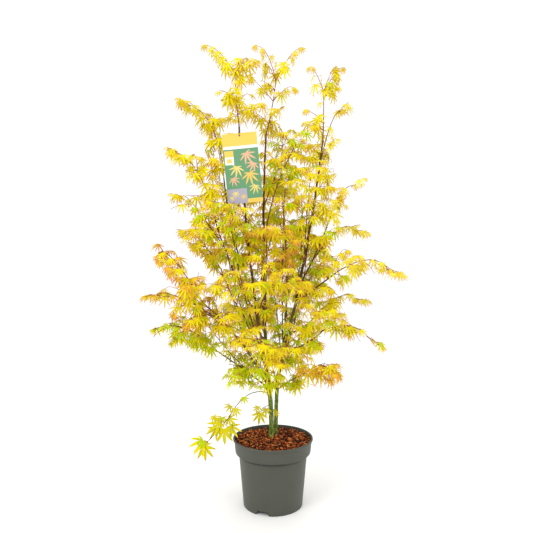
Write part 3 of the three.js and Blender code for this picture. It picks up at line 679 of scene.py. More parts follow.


# Moulded plastic, with painted shade in a band under the collar's ledge
def plastic_material():
    material, tree, shader = new_material("pot_plastic", POT_TONE, roughness=0.5, specular=0.4)
    # Painted shade: the plastic darkens to a deeper tone in a band of heights just under the collar's ledge
    ledge_shade = ramp_node(tree, height_node(tree, *LEDGE_SHADE_BAND),
                      [(0.3, POT_TONE), (0.53, PAINTED_LEDGE_SHADE), (0.62, PAINTED_LEDGE_SHADE), (0.68, POT_TONE)])
    cloud = ramp_node(tree, noise_node(tree, 16), [(0.3, (246, 246, 246)), (0.7, (255, 255, 255))])
    tree.links.new(mix_node(tree, "MULTIPLY", 1.0, ledge_shade, cloud), shader.inputs["Base Color"])
    bump_node(tree, shader, scale=900, depth=0.12, strength=0.5, detail=2)
    return material


# Streaked bark, in other tones towards the foot of a limb where they are given
def bark_material(name, stops, roughness, foot=None, stretch=0.12):
    material, tree, shader = new_material(name, stops[0][1], roughness, specular=0.3)
    streaks = noise_node(tree, 260, 4, stretch)
    tone = ramp_node(tree, streaks, stops)
    if foot:
        tone = mix_node(tree, "MIX", height_node(tree, *GREEN_TOP), ramp_node(tree, streaks, foot), tone)
    tree.links.new(tone, shader.inputs["Base Color"])
    bump_node(tree, shader, scale=700, depth=0.3, strength=0.7, stretch=0.3)
    return material


def chip_material(name, dark, light):
    material, tree, shader = new_material(name, dark, roughness=0.85, specular=0.25)
    fibres = noise_node(tree, 380, 5)
    tree.links.new(ramp_node(tree, fibres, [(0.3, dark), (0.7, light)]), shader.inputs["Base Color"])
    bump_node(tree, shader, scale=900, depth=0.4, strength=0.8)
    return material


def print_material(name, rgb):
    material, tree, shader = new_material("card_" + name, rgb, roughness=0.35)
    bump_node(tree, shader, scale=1500, depth=0.03, strength=0.3, detail=1)
    return material


# Camera, lights and floor
def make_camera():
    data = bpy.data.cameras.new("camera")
    data.lens = CAMERA_LENS
    data.sensor_width = CAMERA_SENSOR
    data.shift_x, data.shift_y = CAMERA_SHIFT
    data.clip_end = CAMERA_REACH
    camera = link("camera", data)
    camera.location = CAMERA_PLACE
    camera.rotation_euler = (pi / 2, 0, 0)
    bpy.context.scene.camera = camera


def area_light(name, place, target, size, watts):
    data = bpy.data.lights.new(name, "AREA")
    data.size = size
    data.energy = watts
    light = link(name, data)
    light.location = place
    way = Vector(target) - Vector(place)
    light.rotation_euler = way.to_track_quat("-Z", "Y").to_euler()


def make_studio():
    world = bpy.data.worlds.new("studio")
    world.use_nodes = True
    back = world.node_tree.nodes["Background"]
    back.inputs["Color"].default_value = (1, 1, 1, 1)
    back.inputs["Strength"].default_value = SKY_STRENGTH
    bpy.context.scene.world = world
    bpy.context.scene.view_settings.view_transform = "Standard"
    area_light("key", (-1.8, -2.2, 2.6), (0, 0, 0.8), 1.6, 40)
    area_light("fill", (2.4, -1.8, 1.6), (0, 0, 0.8), 2.0, 12)
    area_light("rim", (0.6, 2.4, 2.6), (0, 0, 0.9), 2.0, 14)


def make_floor():
    skin = Skin()
    reach = (-FLOOR_REACH, FLOOR_REACH)
    skin.add([(x, y, 0) for y in reach for x in reach], [(0, 1, 3, 2)])
    material, tree, shader = new_material("floor_white", (252, 252, 252), roughness=0.9, specular=0.1)
    bump_node(tree, shader, scale=40, depth=0.1, strength=0.2)
    floor = skin.piece("floor", [material])


# The turned pot: the source's profile with its lip, its ledge and its edges rounded
def pot_profile():
    foot = [(60, 0), (62, 2), (65, 9), (66, 10), (98, 10), (99, 9), (99.5, 0.4), (99.9, 0), (102.4, 0),
            (103, 0.5), (103.3, 2)]
    body = [(103 + 16.5 * i / 8, 179 * i / 8) for i in range(1, 8)]
    ledge = [(119.1, 176), (119.2, 179), (119.7, 180), (120.6, 180.4), (127.8, 181), (129.7, 181.5),
             (131, 182.6), (131.6, 184.2), (132, 186.2)]
    collar = [(132 + 3.8 * i / 5, 186.2 + 35 * i / 5) for i in range(1, 6)]
    lip = [(136.2, 222.4), (137.2, 223.6), (138.9, 224.4), (139.7, 225.4), (140, 227), (140, 229.3),
           (139.6, 230.7), (138.7, 231.6), (137.4, 232), (136.2, 231.8), (135.4, 231), (134.9, 229)]
    inside = [(131.5, 204), (129.5, 188.5), (116.8, 182), (108, 80)]
    return foot + body + ledge + collar + lip + inside


def make_pot(material):
    profile = pot_profile()
    turns = [2 * pi * k / POT_SIDES for k in range(POT_SIDES)]
    skin = Skin()
    spots = [(*on_circle(r, turn), z) for r, z in profile for turn in turns]
    skin.add(spots, tube_faces(len(profile), POT_SIDES))
    pot = skin.piece("pot_shell", [material])
    cut_notches(pot)
    smooth_by_angle(pot, SHARP_EDGE)
    return dress(pot, "pot_plastic", "pot")


# Cuts the drain notches with wedges that reach past the foot on both sides and below it
def cut_notches(pot):
    skin = Skin()
    foot, head = NOTCH_FOOT / 2 + 2, NOTCH_HEAD / 2
    outline = [(-foot, -4), (foot, -4), (head, NOTCH_HEIGHT), (-head, NOTCH_HEIGHT)]
    for degrees in NOTCH_TURNS:
        spots = [(*turned_by(degrees, x, -FOOT_RADIUS - reach), z)
                 for reach in NOTCH_REACH for x, z in outline]
        skin.add(spots, tube_faces(len(NOTCH_REACH), len(outline)))
    cutter = skin.piece("notch_cutter", [], smooth=False)
    cut = pot.modifiers.new("notches", "BOOLEAN")
    cut.operation = "DIFFERENCE"
    cut.solver = "EXACT"
    cut.object = cutter
    apply_modifiers(pot)
    bpy.data.objects.remove(cutter)


def apply_modifiers(obj):
    bpy.context.view_layer.update()
    shaped = obj.evaluated_get(bpy.context.evaluated_depsgraph_get())
    mesh = bpy.data.meshes.new_from_object(shaped)
    obj.modifiers.clear()
    obj.data = mesh


def smooth_by_angle(obj, degrees):
    mesh = obj.data
    mesh.polygons.foreach_set("use_smooth", [True] * len(mesh.polygons))
    mesh.set_sharp_from_angle(angle=radians(degrees))


# Mulch: a rough bed, near-black as painted shade in the gaps between chips, with shreds and chips of bark
# lying on it
def soil_height(r):
    if r < SOIL_CROWN_RADIUS:
        return SOIL_CROWN
    share = (r - SOIL_CROWN_RADIUS) / (SOIL_RADIUS - SOIL_CROWN_RADIUS)
    return SOIL_CROWN + (SOIL_EDGE - SOIL_CROWN) * share


def bed_height(x, y):
    lumps = noise.noise(Vector((x * 0.05, y * 0.05, 3))) * 1.6 + noise.noise(Vector((x * 0.2, y * 0.2, 7)))
    return soil_height(hypot(x, y)) - BED_DROP + lumps


def make_bed(skin):
    spots = [(0, 0, bed_height(0, 0))]
    for i in range(1, BED_RINGS + 1):
        r = SOIL_RADIUS * i / BED_RINGS
        for k in range(BED_SIDES):
            x, y = on_circle(r, 2 * pi * (k + 0.5 * (i % 2)) / BED_SIDES)
            spots.append((x, y, bed_height(x, y)))
    spots += [(x * 0.97, y * 0.97, BED_FLOOR) for x, y, _ in spots[-BED_SIDES:]]
    faces = [(0, 1 + k, 1 + (k + 1) % BED_SIDES) for k in range(BED_SIDES)]
    for i in range(BED_RINGS):
        first = 1 + i * BED_SIDES
        for k in range(BED_SIDES):
            a, b = first + k, first + (k + 1) % BED_SIDES
            faces.append((a, a + BED_SIDES, b + BED_SIDES, b))
    faces.append(tuple(range(len(spots) - 1, len(spots) - 1 - BED_SIDES, -1)))
    skin.add(spots, faces)


# The corners of one chip, as four rings of four along it, bowed and narrower at both ends
def chip_spots(random, x, y, size, lift):
    length, width, thick = size
    turn = 2 * pi * random()
    pitch = (random() - 0.5) * 0.9
    roll = (random() - 0.5) * 1.8
    way = np.array([cos(turn) * cos(pitch), sin(turn) * cos(pitch), sin(pitch)])
    side = around(way, roll)
    top = np.cross(side, way)
    base = np.array([x, y, bed_height(x, y) + lift])
    spots = []
    for along, wide in ((-0.5, 0.35 + 0.4 * random()), (-0.15, 1), (0.25, 0.9), (0.5, 0.2 + 0.4 * random())):
        bow = (random() - 0.5) * 0.3 * width
        middle = base + way * along * length + side * bow
        for a, b in ((-1, -1), (1, -1), (1, 1), (-1, 1)):
            spots.append(middle + side * a * wide * width / 2 + top * b * thick / 2)
    return spots


# A measure from its least and how much larger it can be
def sized(measure, share):
    return measure[0] + measure[1] * share


def make_mulch(materials):
    skin = Skin()
    make_bed(skin)
    random = seeded(4001)
    for i in range(CHIPS):
        r = (SOIL_RADIUS - CHIP_MARGIN) * sqrt(random())
        x, y = on_circle(r, 2 * pi * random())
        length = min(sized(CHIP_LENGTH, random() ** 1.5), 2 * (SOIL_RADIUS - r))
        size = (length, sized(CHIP_WIDTH, random()), sized(CHIP_THICKNESS, random()))
        kind = CHIP_KINDS[int(random() * len(CHIP_KINDS))]
        skin.add(chip_spots(random, x, y, size, sized(CHIP_LIFT, i / CHIPS)), tube_faces(4, 4), kind)
    return dress(skin.piece("mulch", materials, smooth=False), "bark_mulch", "soil")


# Stems and boughs, with the bark's relief
paths = {}


def find_paths():
    for spec in STEMS + LEADERS + BOUGHS + WHIPS:
        start = spec.base or paths[spec.parent].at(spec.at)
        paths[spec.name] = path_through(start, spec.via, spec.tip)


# Points along some paths, between two shares of each
def points_along(names, first, last, count):
    return np.concatenate([paths[name].points(np.linspace(first, last, count)) for name in names])


# The radii of a limb's rings, one for each corner: flared at its foot, with joints and ridges along it
def bark_radii(spec, points, run, sides, seed):
    share = run / run[-1]
    radii = spec.r0 + (spec.r1 - spec.r0) * share
    if spec.r0 < THIN_LIMB:
        radii = radii * THIN_SHARE
    if spec.base:
        radii = radii * sized(STEM_SWELL, share)
        radii = radii * (1 + ROOT_FLARE * np.exp(-(points[:, 2] - STEM_BASE) / ROOT_REACH))
    else:
        radii = radii * (1 + FORK_FLARE * np.exp(-run / FORK_REACH))
    spacing = JOINT_SPACING + 9 * (seed % 5)
    joint = np.abs((run + 20 * (seed % 3)) % spacing - spacing / 2)
    radii = radii + JOINT_RISE * np.exp(-((joint / JOINT_REACH) ** 2))
    turns = [2 * pi * k / sides for k in range(sides)]
    rings = []
    for i, radius in enumerate(radii):
        up = run[i] * 0.035 + 13 * seed
        ridges = [noise.noise(Vector((*on_circle(2.2, turn), up))) for turn in turns]
        rings.append(radius * (1 + RIDGE_DEPTH * np.array(ridges)))
    return rings


def make_limbs(name, specs, sides, step, materials, slot):
    skin = Skin()
    for seed, spec in enumerate(specs):
        path = paths[spec.name]
        shares = np.linspace(0, 1, max(6, int(path.length / step)) + 1)
        points = path.points(shares)
        if not spec.base:
            points = points + wander(points, spec, seed, shares)
        skin.tube(points, bark_radii(spec, points, shares * path.length, sides, seed), sides)
    obj = skin.piece(name, materials)
    return dress(obj, slot, *[spec.name for spec in specs if spec.name in frame["nodes"]])


# Small turns from joint to joint, as a grown limb has, that die out at both ends
def wander(points, spec, seed, shares):
    size = 0.35 * (spec.r0 + spec.r1)
    swing = np.array([[noise.noise(Vector((p[2] * 0.012, 5.1 * seed, 2.0 + 9 * axis))) for axis in range(3)]
                      for p in points])
    return swing * size * (np.sin(pi * shares) ** 0.7)[:, None]


# Foliage: the corners of a leaf of radius 1, its faces, and the zone of each from its heart outwards
def leaf_template(widen=1.0):
    spots, faces, zones = [(0, 0, 0)], [], []

    def spot(degrees, reach, side=0.0, lift=0.0):
        turn = radians(degrees)
        x = reach * sin(turn) + side * cos(turn)
        y = reach * cos(turn) - side * sin(turn)
        spots.append((x, y, lift - LEAF_DROOP * reach * reach))
        return len(spots) - 1

    angles = [lobe[0] for lobe in LOBES]
    shares = (OUTER_NOTCH, 1, 1, 1, 1, OUTER_NOTCH)
    notches = [spot(angles[0] - HEART_TURN, HEART_NOTCH)]
    notches += [spot((a + b) / 2, LEAF_NOTCH * share) for a, b, share in zip(angles, angles[1:], shares)]
    notches.append(spot(angles[-1] + HEART_TURN, HEART_NOTCH))
    for k, (angle, length, width) in enumerate(LOBES):
        rows = []
        for share, wide in LOBE_ROWS:
            half, reach = width * wide * widen, length * share
            rows.append([spot(angle, reach, side, LEAF_FOLD * abs(side)) for side in (-half, 0, half)])
        tip = spot(angle, length)
        (l1, m1, r1), (l2, m2, r2) = rows
        left, right = notches[k], notches[k + 1]
        lobe = [((0, left, l1), 0), ((0, l1, m1), 0), ((0, m1, r1), 0), ((0, r1, right), 0)]
        lobe += [((m1, l1, l2, m2), 1), ((m1, m2, r2, r1), 1), ((m2, l2, tip), 2), ((m2, tip, r2), 2)]
        faces += [face[::-1] for face, zone in lobe]
        zones += [zone for face, zone in lobe]
    return np.array(spots), faces, zones


LEAF_SPOTS, LEAF_FACES, LEAF_ZONES = leaf_template()
BROAD_SPOTS = leaf_template(BROAD_LEAF)[0]
# The heart of a blade and a corner of each lobe, which tell what the blade hides
BLADE_MARKS = [0, *range(len(LOBES) + 2, len(LEAF_SPOTS), 3 * len(LOBE_ROWS) + 1)]
TINT_NAMES = list(TINTS)


# All leaves, leaf stalks and twigs, each kind gathered apart
class Foliage:
    def __init__(self):
        self.leaves = [Skin()]
        self.stalks = Skin()
        self.twigs = Skin()
        self.most_open = OPEN_SHARE
        bare = points_along([spec.name for spec in LEADERS + WHIPS] + BARE_BOUGHS, 0.1, 0.95, 90)
        self.bare = (*seen_at(bare), bare[:, 1])

    # A leaf, turned aside where it would close an opening or hide a limb, or left off where no turn helps
    def leaf(self, start, out, turned, hang, size, deal, random):
        bares = random() < BARE_SHARE
        for swing in LEAF_SWINGS:
            lower = hang + abs(swing) * SWING_HANG
            blade, stalk = leaf_in_place(start, out, turned + swing, lower, size, random)
            if bares and self.hides_limb(blade):
                continue
            if not hides_card(blade[0]) and open_share(blade) < self.most_open:
                self.hang(blade, stalk, deal)
                return

    # True where a blade hangs in front of a leader, a finer bough or a bare bough
    def hides_limb(self, blade):
        limb_x, limb_z, limb_y = self.bare
        x, z = seen_at(blade[BLADE_MARKS])
        apart = np.hypot(limb_x[:, None] - x, limb_z[:, None] - z)
        return bool(((apart < BARE_REACH) & (limb_y[:, None] > blade[0, 1])).any())

    # A blade and its stalk, in a new piece when the last one is full
    def hang(self, blade, stalk, deal):
        if len(self.leaves[-1].faces) >= MOST_FACES:
            self.leaves.append(Skin())
        self.leaves[-1].add(blade, LEAF_FACES, [TINT_NAMES.index(deal[zone]) for zone in LEAF_ZONES])
        self.stalks.tube(stalk, (0.75, 0.6, 0.5), 3)

    # Short side shoots on a long shoot
    def branch(self, path, size, deals, random):
        for share, side in ((0.3, 1), (0.42, -1), (0.62, 1), (0.74, -1)):
            ahead = path.heading(share)
            level, high = square_to(ahead)
            out = unit(level * side + high * (random() - 0.5))
            start = path.at(share)
            small = shoot_path(start, unit(ahead * 0.6 + out), 26 + 14 * random(), random)
            self.shoot(small, 1.0, 1, 0.8, size * 0.9, deals, random)

    # Pairs of leaves along a shoot, smaller and younger towards its tip, and two young ones at the tip
    def shoot(self, path, radius, nodes, first, size, deals, random, young=True, taper=0.45, droop=0.28):
        points = path.points(np.linspace(0, 1, max(4, int(path.length / SHOOT_STEP) + 1)))
        self.twigs.tube(points, np.linspace(radius, SHOOT_TIP, len(points)), 5, 1 if young else 0)
        for i in range(nodes):
            share = first + (LAST_NODE - first) * (i / (nodes - 1) if nodes > 1 else 0.3)
            heading = path.heading(share)
            level = square_to(heading)[0]
            grown = size * (1.07 - taper * share + 0.12 * random())
            deal = deals[min(len(deals) - 1, int((0.25 + 0.6 * share + 0.5 * (random() - 0.5)) * len(deals)))]
            for side in (-1, 1):
                place = path.at(share)
                out = unit(heading * 0.7 + level * side + outward(place) * 0.5)
                turned = -side * (8 + 14 * random())
                hang = droop + 0.5 * random() + 0.45 * abs(heading[2])
                self.leaf(place, out, turned, hang, grown, deal, random)
        for turned in (-42, 38):
            self.leaf(path.at(1), path.heading(1), turned + 20 * random(), 0.5 + 0.5 * random(),
                      size * (0.36 + 0.14 * random()), deals[-1], random)


# The corners of a leaf that leaves the twig at a point, on the way out, and hangs by an angle, and its stalk
def leaf_in_place(start, out, turned, hang, size, random):
    stalk = PETIOLE * size * (0.8 + 0.4 * random())
    level = np.array([out[0], out[1], 0.0])
    if norm(level) < 0.2:
        level = np.array([1.0, -0.4, 0.0])
    level = unit(level)
    level = np.array([*turned_by(turned, level[0], level[1]), 0])
    away = unit(level * 0.9 + out * 0.5 + UP * 0.25)
    heart = start + away * stalk * 0.8 + level * stalk * 0.2 - UP * stalk * 0.25
    heading = level * cos(hang) - UP * sin(hang)
    across = unit(np.cross(heading, UP))
    roll = (random() - 0.5) * 0.9
    normal = unit(np.cross(across, heading))
    normal = normal * cos(roll) - across * sin(roll)
    blade = blade_spots(heart, heading, normal, LEAF_RADIUS * size, 0.7 + 0.8 * random(), LEAF_SPOTS)
    return blade, [start, start + away * stalk * 0.5 + UP * stalk * 0.04, heart]


# The corners of a blade from its heart, its heading, the way its upper side faces, its radius and its bow
def blade_spots(heart, heading, normal, radius, bow, spots):
    shape = spots * radius
    flat = np.outer(shape[:, 0], np.cross(heading, normal)) + np.outer(shape[:, 1], heading)
    return heart + flat + np.outer(shape[:, 2] * bow, normal)


# Where points are seen from the front, as x and z beside the trunk
def seen_at(points):
    reach = -EYE[1] / (points[:, 1] - EYE[1])
    return points[:, 0] * reach, EYE[2] + (points[:, 2] - EYE[2]) * reach


# The share of the points that are seen in an opening from the front
def open_share(points):
    x, z = seen_at(points)
    gaps = np.hypot(x[:, None] - OPENINGS[:, 0], z[:, None] - OPENINGS[:, 1]) < OPENINGS[:, 2]
    return gaps.any(axis=1).mean()


# Level, and away from the tree's middle
def outward(place):
    level = np.array([place[0], place[1] - 20, 0.0])
    return level / max(norm(level), 60)


# True where a leaf would hang in front of the label card
def hides_card(heart):
    beside, above, below = CARD_ROOM
    across, up = turned_by(-CARD_LEAN, heart[0] - CARD_HOLE[0], heart[2] - CARD_HOLE[2])
    if abs(across) > CARD_SIZE[0] / 2 + beside or not -CARD_SIZE[2] - below <= up <= CARD_HOLE_DROP + above:
        return False
    return heart[1] < CARD_HOLE[1] + beside


# The stem of a mass: an arch where it is given, or one that sets out along its parent or rises from its side
def mass_path(spec):
    parent = paths[spec.parent]
    ahead, start = parent.heading(spec.at), parent.at(spec.at)
    if spec.via:
        return path_through(start, spec.via, spec.tip)
    end = np.array(spec.tip, float)
    length = norm(end - start)
    bend = start + ahead * 0.45 * length if spec.at == 1 else (start + end) / 2 + UP * 0.16 * length
    return Path(start, bend, end)


# The place and the heading at a share of a stem that is read as straight runs, as the source reads it
def along(points, share):
    place = share * (len(points) - 1)
    i = int(place)
    return points[i] + (points[i + 1] - points[i]) * (place - i), unit(points[i + 1] - points[i])


# The source's side twig: where it starts, its heading and its length
def side_twig(points, share, side, spread_deg, length, plane, random):
    point, ahead = along(points, share)
    start = point + ahead * side * TWIG_STAGGER
    out = around(ahead, plane + (random() - 0.5) * 0.5) * side
    angle = radians(spread_deg + (random() - 0.5) * 12)
    return start, ahead * cos(angle) + out * sin(angle), length


# The source's own twigs: pairs up the stem, and the fork at its end
def source_twigs(spec, points, index):
    random = seeded(index + 1)
    upright = abs(along(points, 0.5)[1][2]) > 0.8
    twigs = []
    for i in range(spec.pairs):
        share = 0.22 + 0.6 * i / max(spec.pairs - 1, 1)
        plane = 0.1 if i % 2 == 0 else pi / 2 if upright else 0.6
        for side in (-1, 1):
            length = spec.spread * (1 - 0.3 * share) * (0.85 + 0.3 * random())
            twigs.append(side_twig(points, share, side, 60, length, plane, random))
    for side in (-1, 1):
        length = spec.fork[0 if side < 0 else 1]
        if length:
            twigs.append(side_twig(points, 0.95, side, 32, length, 0.1, random))
    return twigs


# Finer twigs between the source's own, turned a quarter way round the stem from their neighbours
def finer_twigs(spec, points, random):
    twigs = []
    for i in range(spec.pairs):
        share = 0.06 + 0.88 * (i + 0.5) / spec.pairs
        for side in (-1, 1):
            length = spec.spread * (0.62 + 0.25 * random())
            twig = side_twig(points, share, side, 52, length, 1.1 if i % 2 == 0 else 0.3, random)
            if random() < spec.fill:
                twigs.append(twig)
    return twigs


# Short shoots round a limb, each a golden angle on from the last
def clothe(foliage, name, seed):
    first, last, spacing, length, tints = CLOTHED[name]
    path, random = paths[name], seeded(700 + seed)
    count = max(2, int(path.length * (last - first) / spacing))
    for i in range(count):
        share = first + (last - first) * (i + 0.6 * random()) / count
        ahead = path.heading(share)
        out = around(ahead, radians(137.5 * i + 40 * random()))
        angle = radians(48 + 18 * random())
        heading = unit(ahead * cos(angle) + out * sin(angle) + UP * 0.15)
        reach = length * (1.1 - 0.35 * share) * (0.8 + 0.4 * random())
        shoot = shoot_path(path.at(share), heading, reach, random)
        line = shoot.points(np.linspace(0.3, 1, 8))
        if any(hides_card(point) for point in line) or open_share(line) > OPEN_SHARE_OF_SHOOT:
            continue
        foliage.shoot(shoot, 1.2, node_count(shoot, CLOTHED_ROOM), 0.42, 0.9, DEALS[tints], random)


# How many pairs of leaves a path has room for
def node_count(path, room, least=1):
    return max(least, round(path.length / room))


# A shoot of a length that sets out on a heading, arches up and bends down at its tip
def shoot_path(start, heading, length, random):
    reach = length + 16
    bend = start + heading * reach * 0.55 + UP * reach * (0.06 + 0.08 * random())
    end = start + heading * reach - UP * reach * (0.05 + 0.12 * random())
    return Path(start, bend, end)


def grow_mass(foliage, spec, index):
    stem = paths[spec.name] = mass_path(spec)
    points = stem.points(np.linspace(0, 1, STEM_STEPS + 1))
    random = seeded(900 + index)
    deals = DEALS[spec.tints]
    size = 0.55 + 0.45 * spec.size
    run = stem.points(np.linspace(0, 1, max(6, int(stem.length / 14))))
    foliage.twigs.tube(run, np.linspace(MASS_RADIUS if spec.pairs else SPRIG_RADIUS, 1.0, len(run)), 6)
    for start, heading, length in source_twigs(spec, points, index) + finer_twigs(spec, points, random):
        path = shoot_path(start, heading, length, random)
        if open_share(path.points(np.linspace(0.3, 1, 8))) > OPEN_SHARE_OF_SHOOT:
            continue
        outer = norm(start - points[0]) / norm(points[-1] - points[0])
        nodes = node_count(path, sized(TWIG_ROOM, outer))
        foliage.shoot(path, 1.25, nodes, 0.4, size * (1.08 - 0.3 * outer), deals, random)
        if length > BRANCHING_LENGTH:
            foliage.branch(path, size, deals, random)
    if spec.pairs:
        foliage.most_open = OPEN_SHARE_AT_TIPS if spec.via else OPEN_SHARE
        foliage.shoot(stem, 1.0, node_count(stem, STEM_ROOM, 2), 0.25, size, deals, random, young=False,
                      taper=0.72, droop=0.55)
        foliage.most_open = OPEN_SHARE


def grow_spray(foliage, parent, at, via, tip, tints, seed):
    path, random = path_through(paths[parent].at(at), via, tip), seeded(1300 + seed)
    nodes = node_count(path, SPRAY_ROOM, 2)
    foliage.shoot(path, 1.6, nodes, 0.25, 0.94, DEALS[tints], random, taper=0.72, droop=0.6)


# A single leaf, on a stalk from the nearest point of the shoots that carry these leaves
def grow_single(foliage, x, y, z, radius, turn, lean, tints, seed):
    random = seeded(2100 + seed)
    turn, lean = radians(turn), radians(lean)
    heart = np.array([x, y, z], float)
    heading = np.array([sin(turn) * cos(lean), -sin(lean), -cos(turn) * cos(lean)])
    front = np.array([0.25 * (random() - 0.5), -1.0, 0.15])
    normal = unit(front - heading * heading.dot(front))
    points = points_along(SINGLE_PARENTS, 0.2, 1, 60)
    start = points[np.argmin(norm(points - heart - UP * 12, axis=1))]
    deal = DEALS[tints][int(4 * random())]
    blade = blade_spots(heart, heading, normal, radius, 0.6 + 0.6 * random(), BROAD_SPOTS)
    foliage.hang(blade, [start, (start + heart) / 2 + UP * 2, heart], deal)


# A shoot to a leafy place, seen from the front, from the nearest point of a limb or mass
def grow_fill(foliage, x, z, tints, seed):
    random = seeded(1700 + seed)
    points = points_along(paths, 0.25, 0.95, 24)
    seen_x, seen_z = seen_at(points)
    apart = np.hypot(seen_x - x, seen_z - z)
    start = points[np.argmin(apart + 25 * np.abs(apart - 45) / 45)]
    depth = start[1] + (random() - 0.5) * 50
    share = (depth - EYE[1]) / -EYE[1]
    end = np.array([x * share, depth, EYE[2] + (z - EYE[2]) * share])
    path = Path(start, (start + end) / 2 + UP * 0.2 * norm(end - start), end)
    foliage.shoot(path, 1.2, node_count(path, FILL_ROOM), 0.45, 0.95, DEALS[tints], random)


def make_foliage(leaf_materials, twig_materials, stalk_material):
    foliage = Foliage()
    for index, spec in enumerate(MASSES):
        grow_mass(foliage, spec, index)
    for seed, name in enumerate(CLOTHED):
        clothe(foliage, name, seed)
    foliage.most_open = OPEN_SHARE_AT_TIPS
    for seed, row in enumerate(SPRAYS):
        grow_spray(foliage, *row, seed)
    for seed, row in enumerate(FILLS):
        grow_fill(foliage, *row, seed)
    for seed, row in enumerate(SINGLE_LEAVES):
        grow_single(foliage, *row, seed)
    names = [spec.name for spec in MASSES]
    for index, skin in enumerate(foliage.leaves):
        nodes = [] if index else names
        dress(skin.piece("leaves_%d" % index, leaf_materials, smooth=False), "leaves", *nodes)
    dress(foliage.twigs.piece("twigs", twig_materials), "brown_bark")
    dress(foliage.stalks.piece("leaf_stalks", [stalk_material]), "leaves")


# Label card: a printed card with a plain design of its own, and the elastic loop it hangs by
def card_outline():
    half, top, bottom = CARD_SIZE[0] / 2, CARD_HOLE_DROP, CARD_HOLE_DROP - CARD_SIZE[2]
    outline = []
    for cx, cz, first in ((half, top, 0), (-half, top, 90), (-half, bottom, 180), (half, bottom, 270)):
        mx = cx - copysign(CARD_CORNER, cx)
        mz = cz - (CARD_CORNER if first < 180 else -CARD_CORNER)
        for step in range(5):
            x, z = on_circle(CARD_CORNER, radians(first + 90 * step / 4))
            outline.append((mx + x, mz + z))
    return outline


# A place on the flat card, from its hole, where it hangs: curled a little and leaning
def card_place(x, y, z):
    curl = CARD_CURL * (x / (CARD_SIZE[0] / 2)) ** 2 - 0.5
    across, up = turned_by(CARD_LEAN, x, z)
    return CARD_HOLE[0] + across, CARD_HOLE[1] + y - curl, CARD_HOLE[2] + up


def make_card(materials):
    mesh = bmesh.new()
    hole = [on_circle(CARD_HOLE_RADIUS, t * pi / 12) for t in range(24)]
    for ring in (card_outline(), hole):
        corners = [mesh.verts.new((x, -CARD_SIZE[1] / 2, z)) for x, z in ring]
        for a, b in zip(corners, corners[1:] + corners[:1]):
            mesh.edges.new((a, b))
    bmesh.ops.triangle_fill(mesh, use_beauty=True, edges=mesh.edges[:])
    made = bmesh.ops.extrude_face_region(mesh, geom=mesh.faces[:])
    for vert in (v for v in made["geom"] if isinstance(v, bmesh.types.BMVert)):
        vert.co.y += CARD_SIZE[1]
    for z in sorted({edge for field in CARD_FIELDS for edge in field[2:4]}):
        split(mesh, (0, 0, z), (0, 0, 1))
    for x in sorted({edge for field in CARD_FIELDS for edge in field[:2]} | CARD_CUTS):
        split(mesh, (x, 0, 0), (1, 0, 0))
    bmesh.ops.recalc_face_normals(mesh, faces=mesh.faces)
    for face in mesh.faces:
        x, _, z = face.calc_center_median()
        face.material_index = card_slot(x, z) if face.normal.y < -0.5 else 1
    for vert in mesh.verts:
        vert.co = Vector(card_place(*vert.co)) * MM
    data = bpy.data.meshes.new("label_print")
    mesh.to_mesh(data)
    mesh.free()
    for material in materials:
        data.materials.append(material)
    return dress(link("label_print", data), "label_card", "label_card")


def split(mesh, place, normal):
    geometry = mesh.verts[:] + mesh.edges[:] + mesh.faces[:]
    bmesh.ops.bisect_plane(mesh, geom=geometry, plane_co=place, plane_no=normal)


# The field of the printed front that a place lies in: the last that holds it
def card_slot(x, z):
    return [slot for left, right, low, high, slot in CARD_FIELDS if left < x < right and low < z < high][-1]


# Plain leaf shapes printed on the front, lying on the card's face
def make_card_leaves(materials):
    skin = Skin()
    for x, z, turn, size, kind in CARD_LEAVES:
        turned = [turned_by(turn, u, v) for u, v, _ in LEAF_SPOTS]
        spots = [card_place(x + size * u, -CARD_SIZE[1] / 2 - PRINT_LIFT, z + size * v) for u, v in turned]
        skin.add(spots, LEAF_FACES, kind)
    return dress(skin.piece("label_leaves", materials, smooth=False), "label_card")


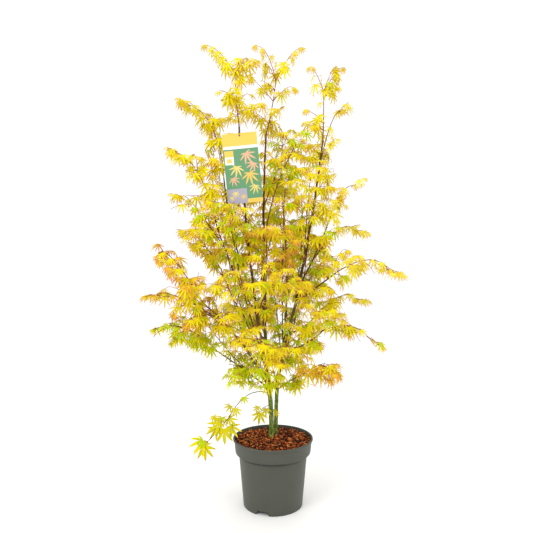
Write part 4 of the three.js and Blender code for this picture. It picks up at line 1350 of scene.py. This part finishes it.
def make_tie(material):
    hole = np.array(CARD_HOLE, float)
    spec = next(s for s in LEADERS if s.name == "leader_left")
    points = paths["leader_left"].points(np.linspace(0, 1, PATH_STEPS))
    leader = points[np.argmin(np.abs(points[:, 2] - hole[2] - TIE_RISE))]
    reach = spec.r1 + TIE_WIRE + TIE_CLEARANCE
    line = [hole, hole + (0, -3.4, 5.5), hole + (-1, 0, 13)]
    for degrees, rise in TIE_TURNS:
        x, y = on_circle(reach, radians(degrees))
        line.append(np.array([leader[0] + x, leader[1] + y, hole[2] + TIE_RISE + rise]))
    line.append(hole + (2, 3.4, 0.5))
    curve = bpy.data.curves.new("label_loop", "CURVE")
    curve.dimensions = "3D"
    curve.bevel_depth = TIE_WIRE * MM
    curve.bevel_resolution = 4
    spline = curve.splines.new("BEZIER")
    spline.use_cyclic_u = True
    spline.bezier_points.add(len(line) - 1)
    for knot, place in zip(spline.bezier_points, line):
        knot.co = place * MM
        knot.handle_left_type = knot.handle_right_type = "AUTO"
    curve.materials.append(material)
    return dress(link("label_loop", curve), "label_tie", "label_tie")


def build():
    make_camera()
    make_studio()
    make_floor()
    find_paths()
    make_pot(plastic_material())
    make_mulch([chip_material(*tones) for tones in CHIP_TONES])
    green = bark_material("green_bark", [(0.32, (48, 72, 8)), (0.44, (80, 110, 16)), (0.53, (108, 134, 34)),
                                         (0.6, (158, 160, 96)), (0.68, (128, 92, 56))], 0.6, stretch=0.3)
    brown = bark_material("brown_bark", [(0.3, (66, 40, 22)), (0.55, (96, 62, 36)), (0.8, (122, 98, 58))],
                          0.7, [(0.28, (80, 88, 30)), (0.5, (104, 112, 42)), (0.75, (128, 118, 66))])
    make_limbs("stems_bark", STEMS, 24, 4, [green], "green_bark")
    make_limbs("leaders_bark", LEADERS, 16, 7, [brown], "brown_bark")
    make_limbs("boughs_bark", BOUGHS + WHIPS, 12, 8, [brown], "brown_bark")
    make_foliage(
        [leaf_material(name, rgb) for name, rgb in TINTS.items()],
        [bark_material("twig_bark", [(0.3, (96, 52, 34)), (0.7, (132, 80, 52))], 0.65),
         bark_material("young_shoot", [(0.3, (140, 66, 42)), (0.7, (176, 98, 60))], 0.6)],
        bark_material("leaf_stalk", [(0.3, (190, 104, 54)), (0.7, (208, 146, 62))], 0.55),
    )
    make_card([print_material(*ink) for ink in CARD_INKS.items()])
    make_card_leaves([print_material(*ink) for ink in LEAF_INKS.items()])
    make_tie(new_material("tie_black", (34, 34, 34), 0.5)[0])


build()
bpy.context.view_layer.update()
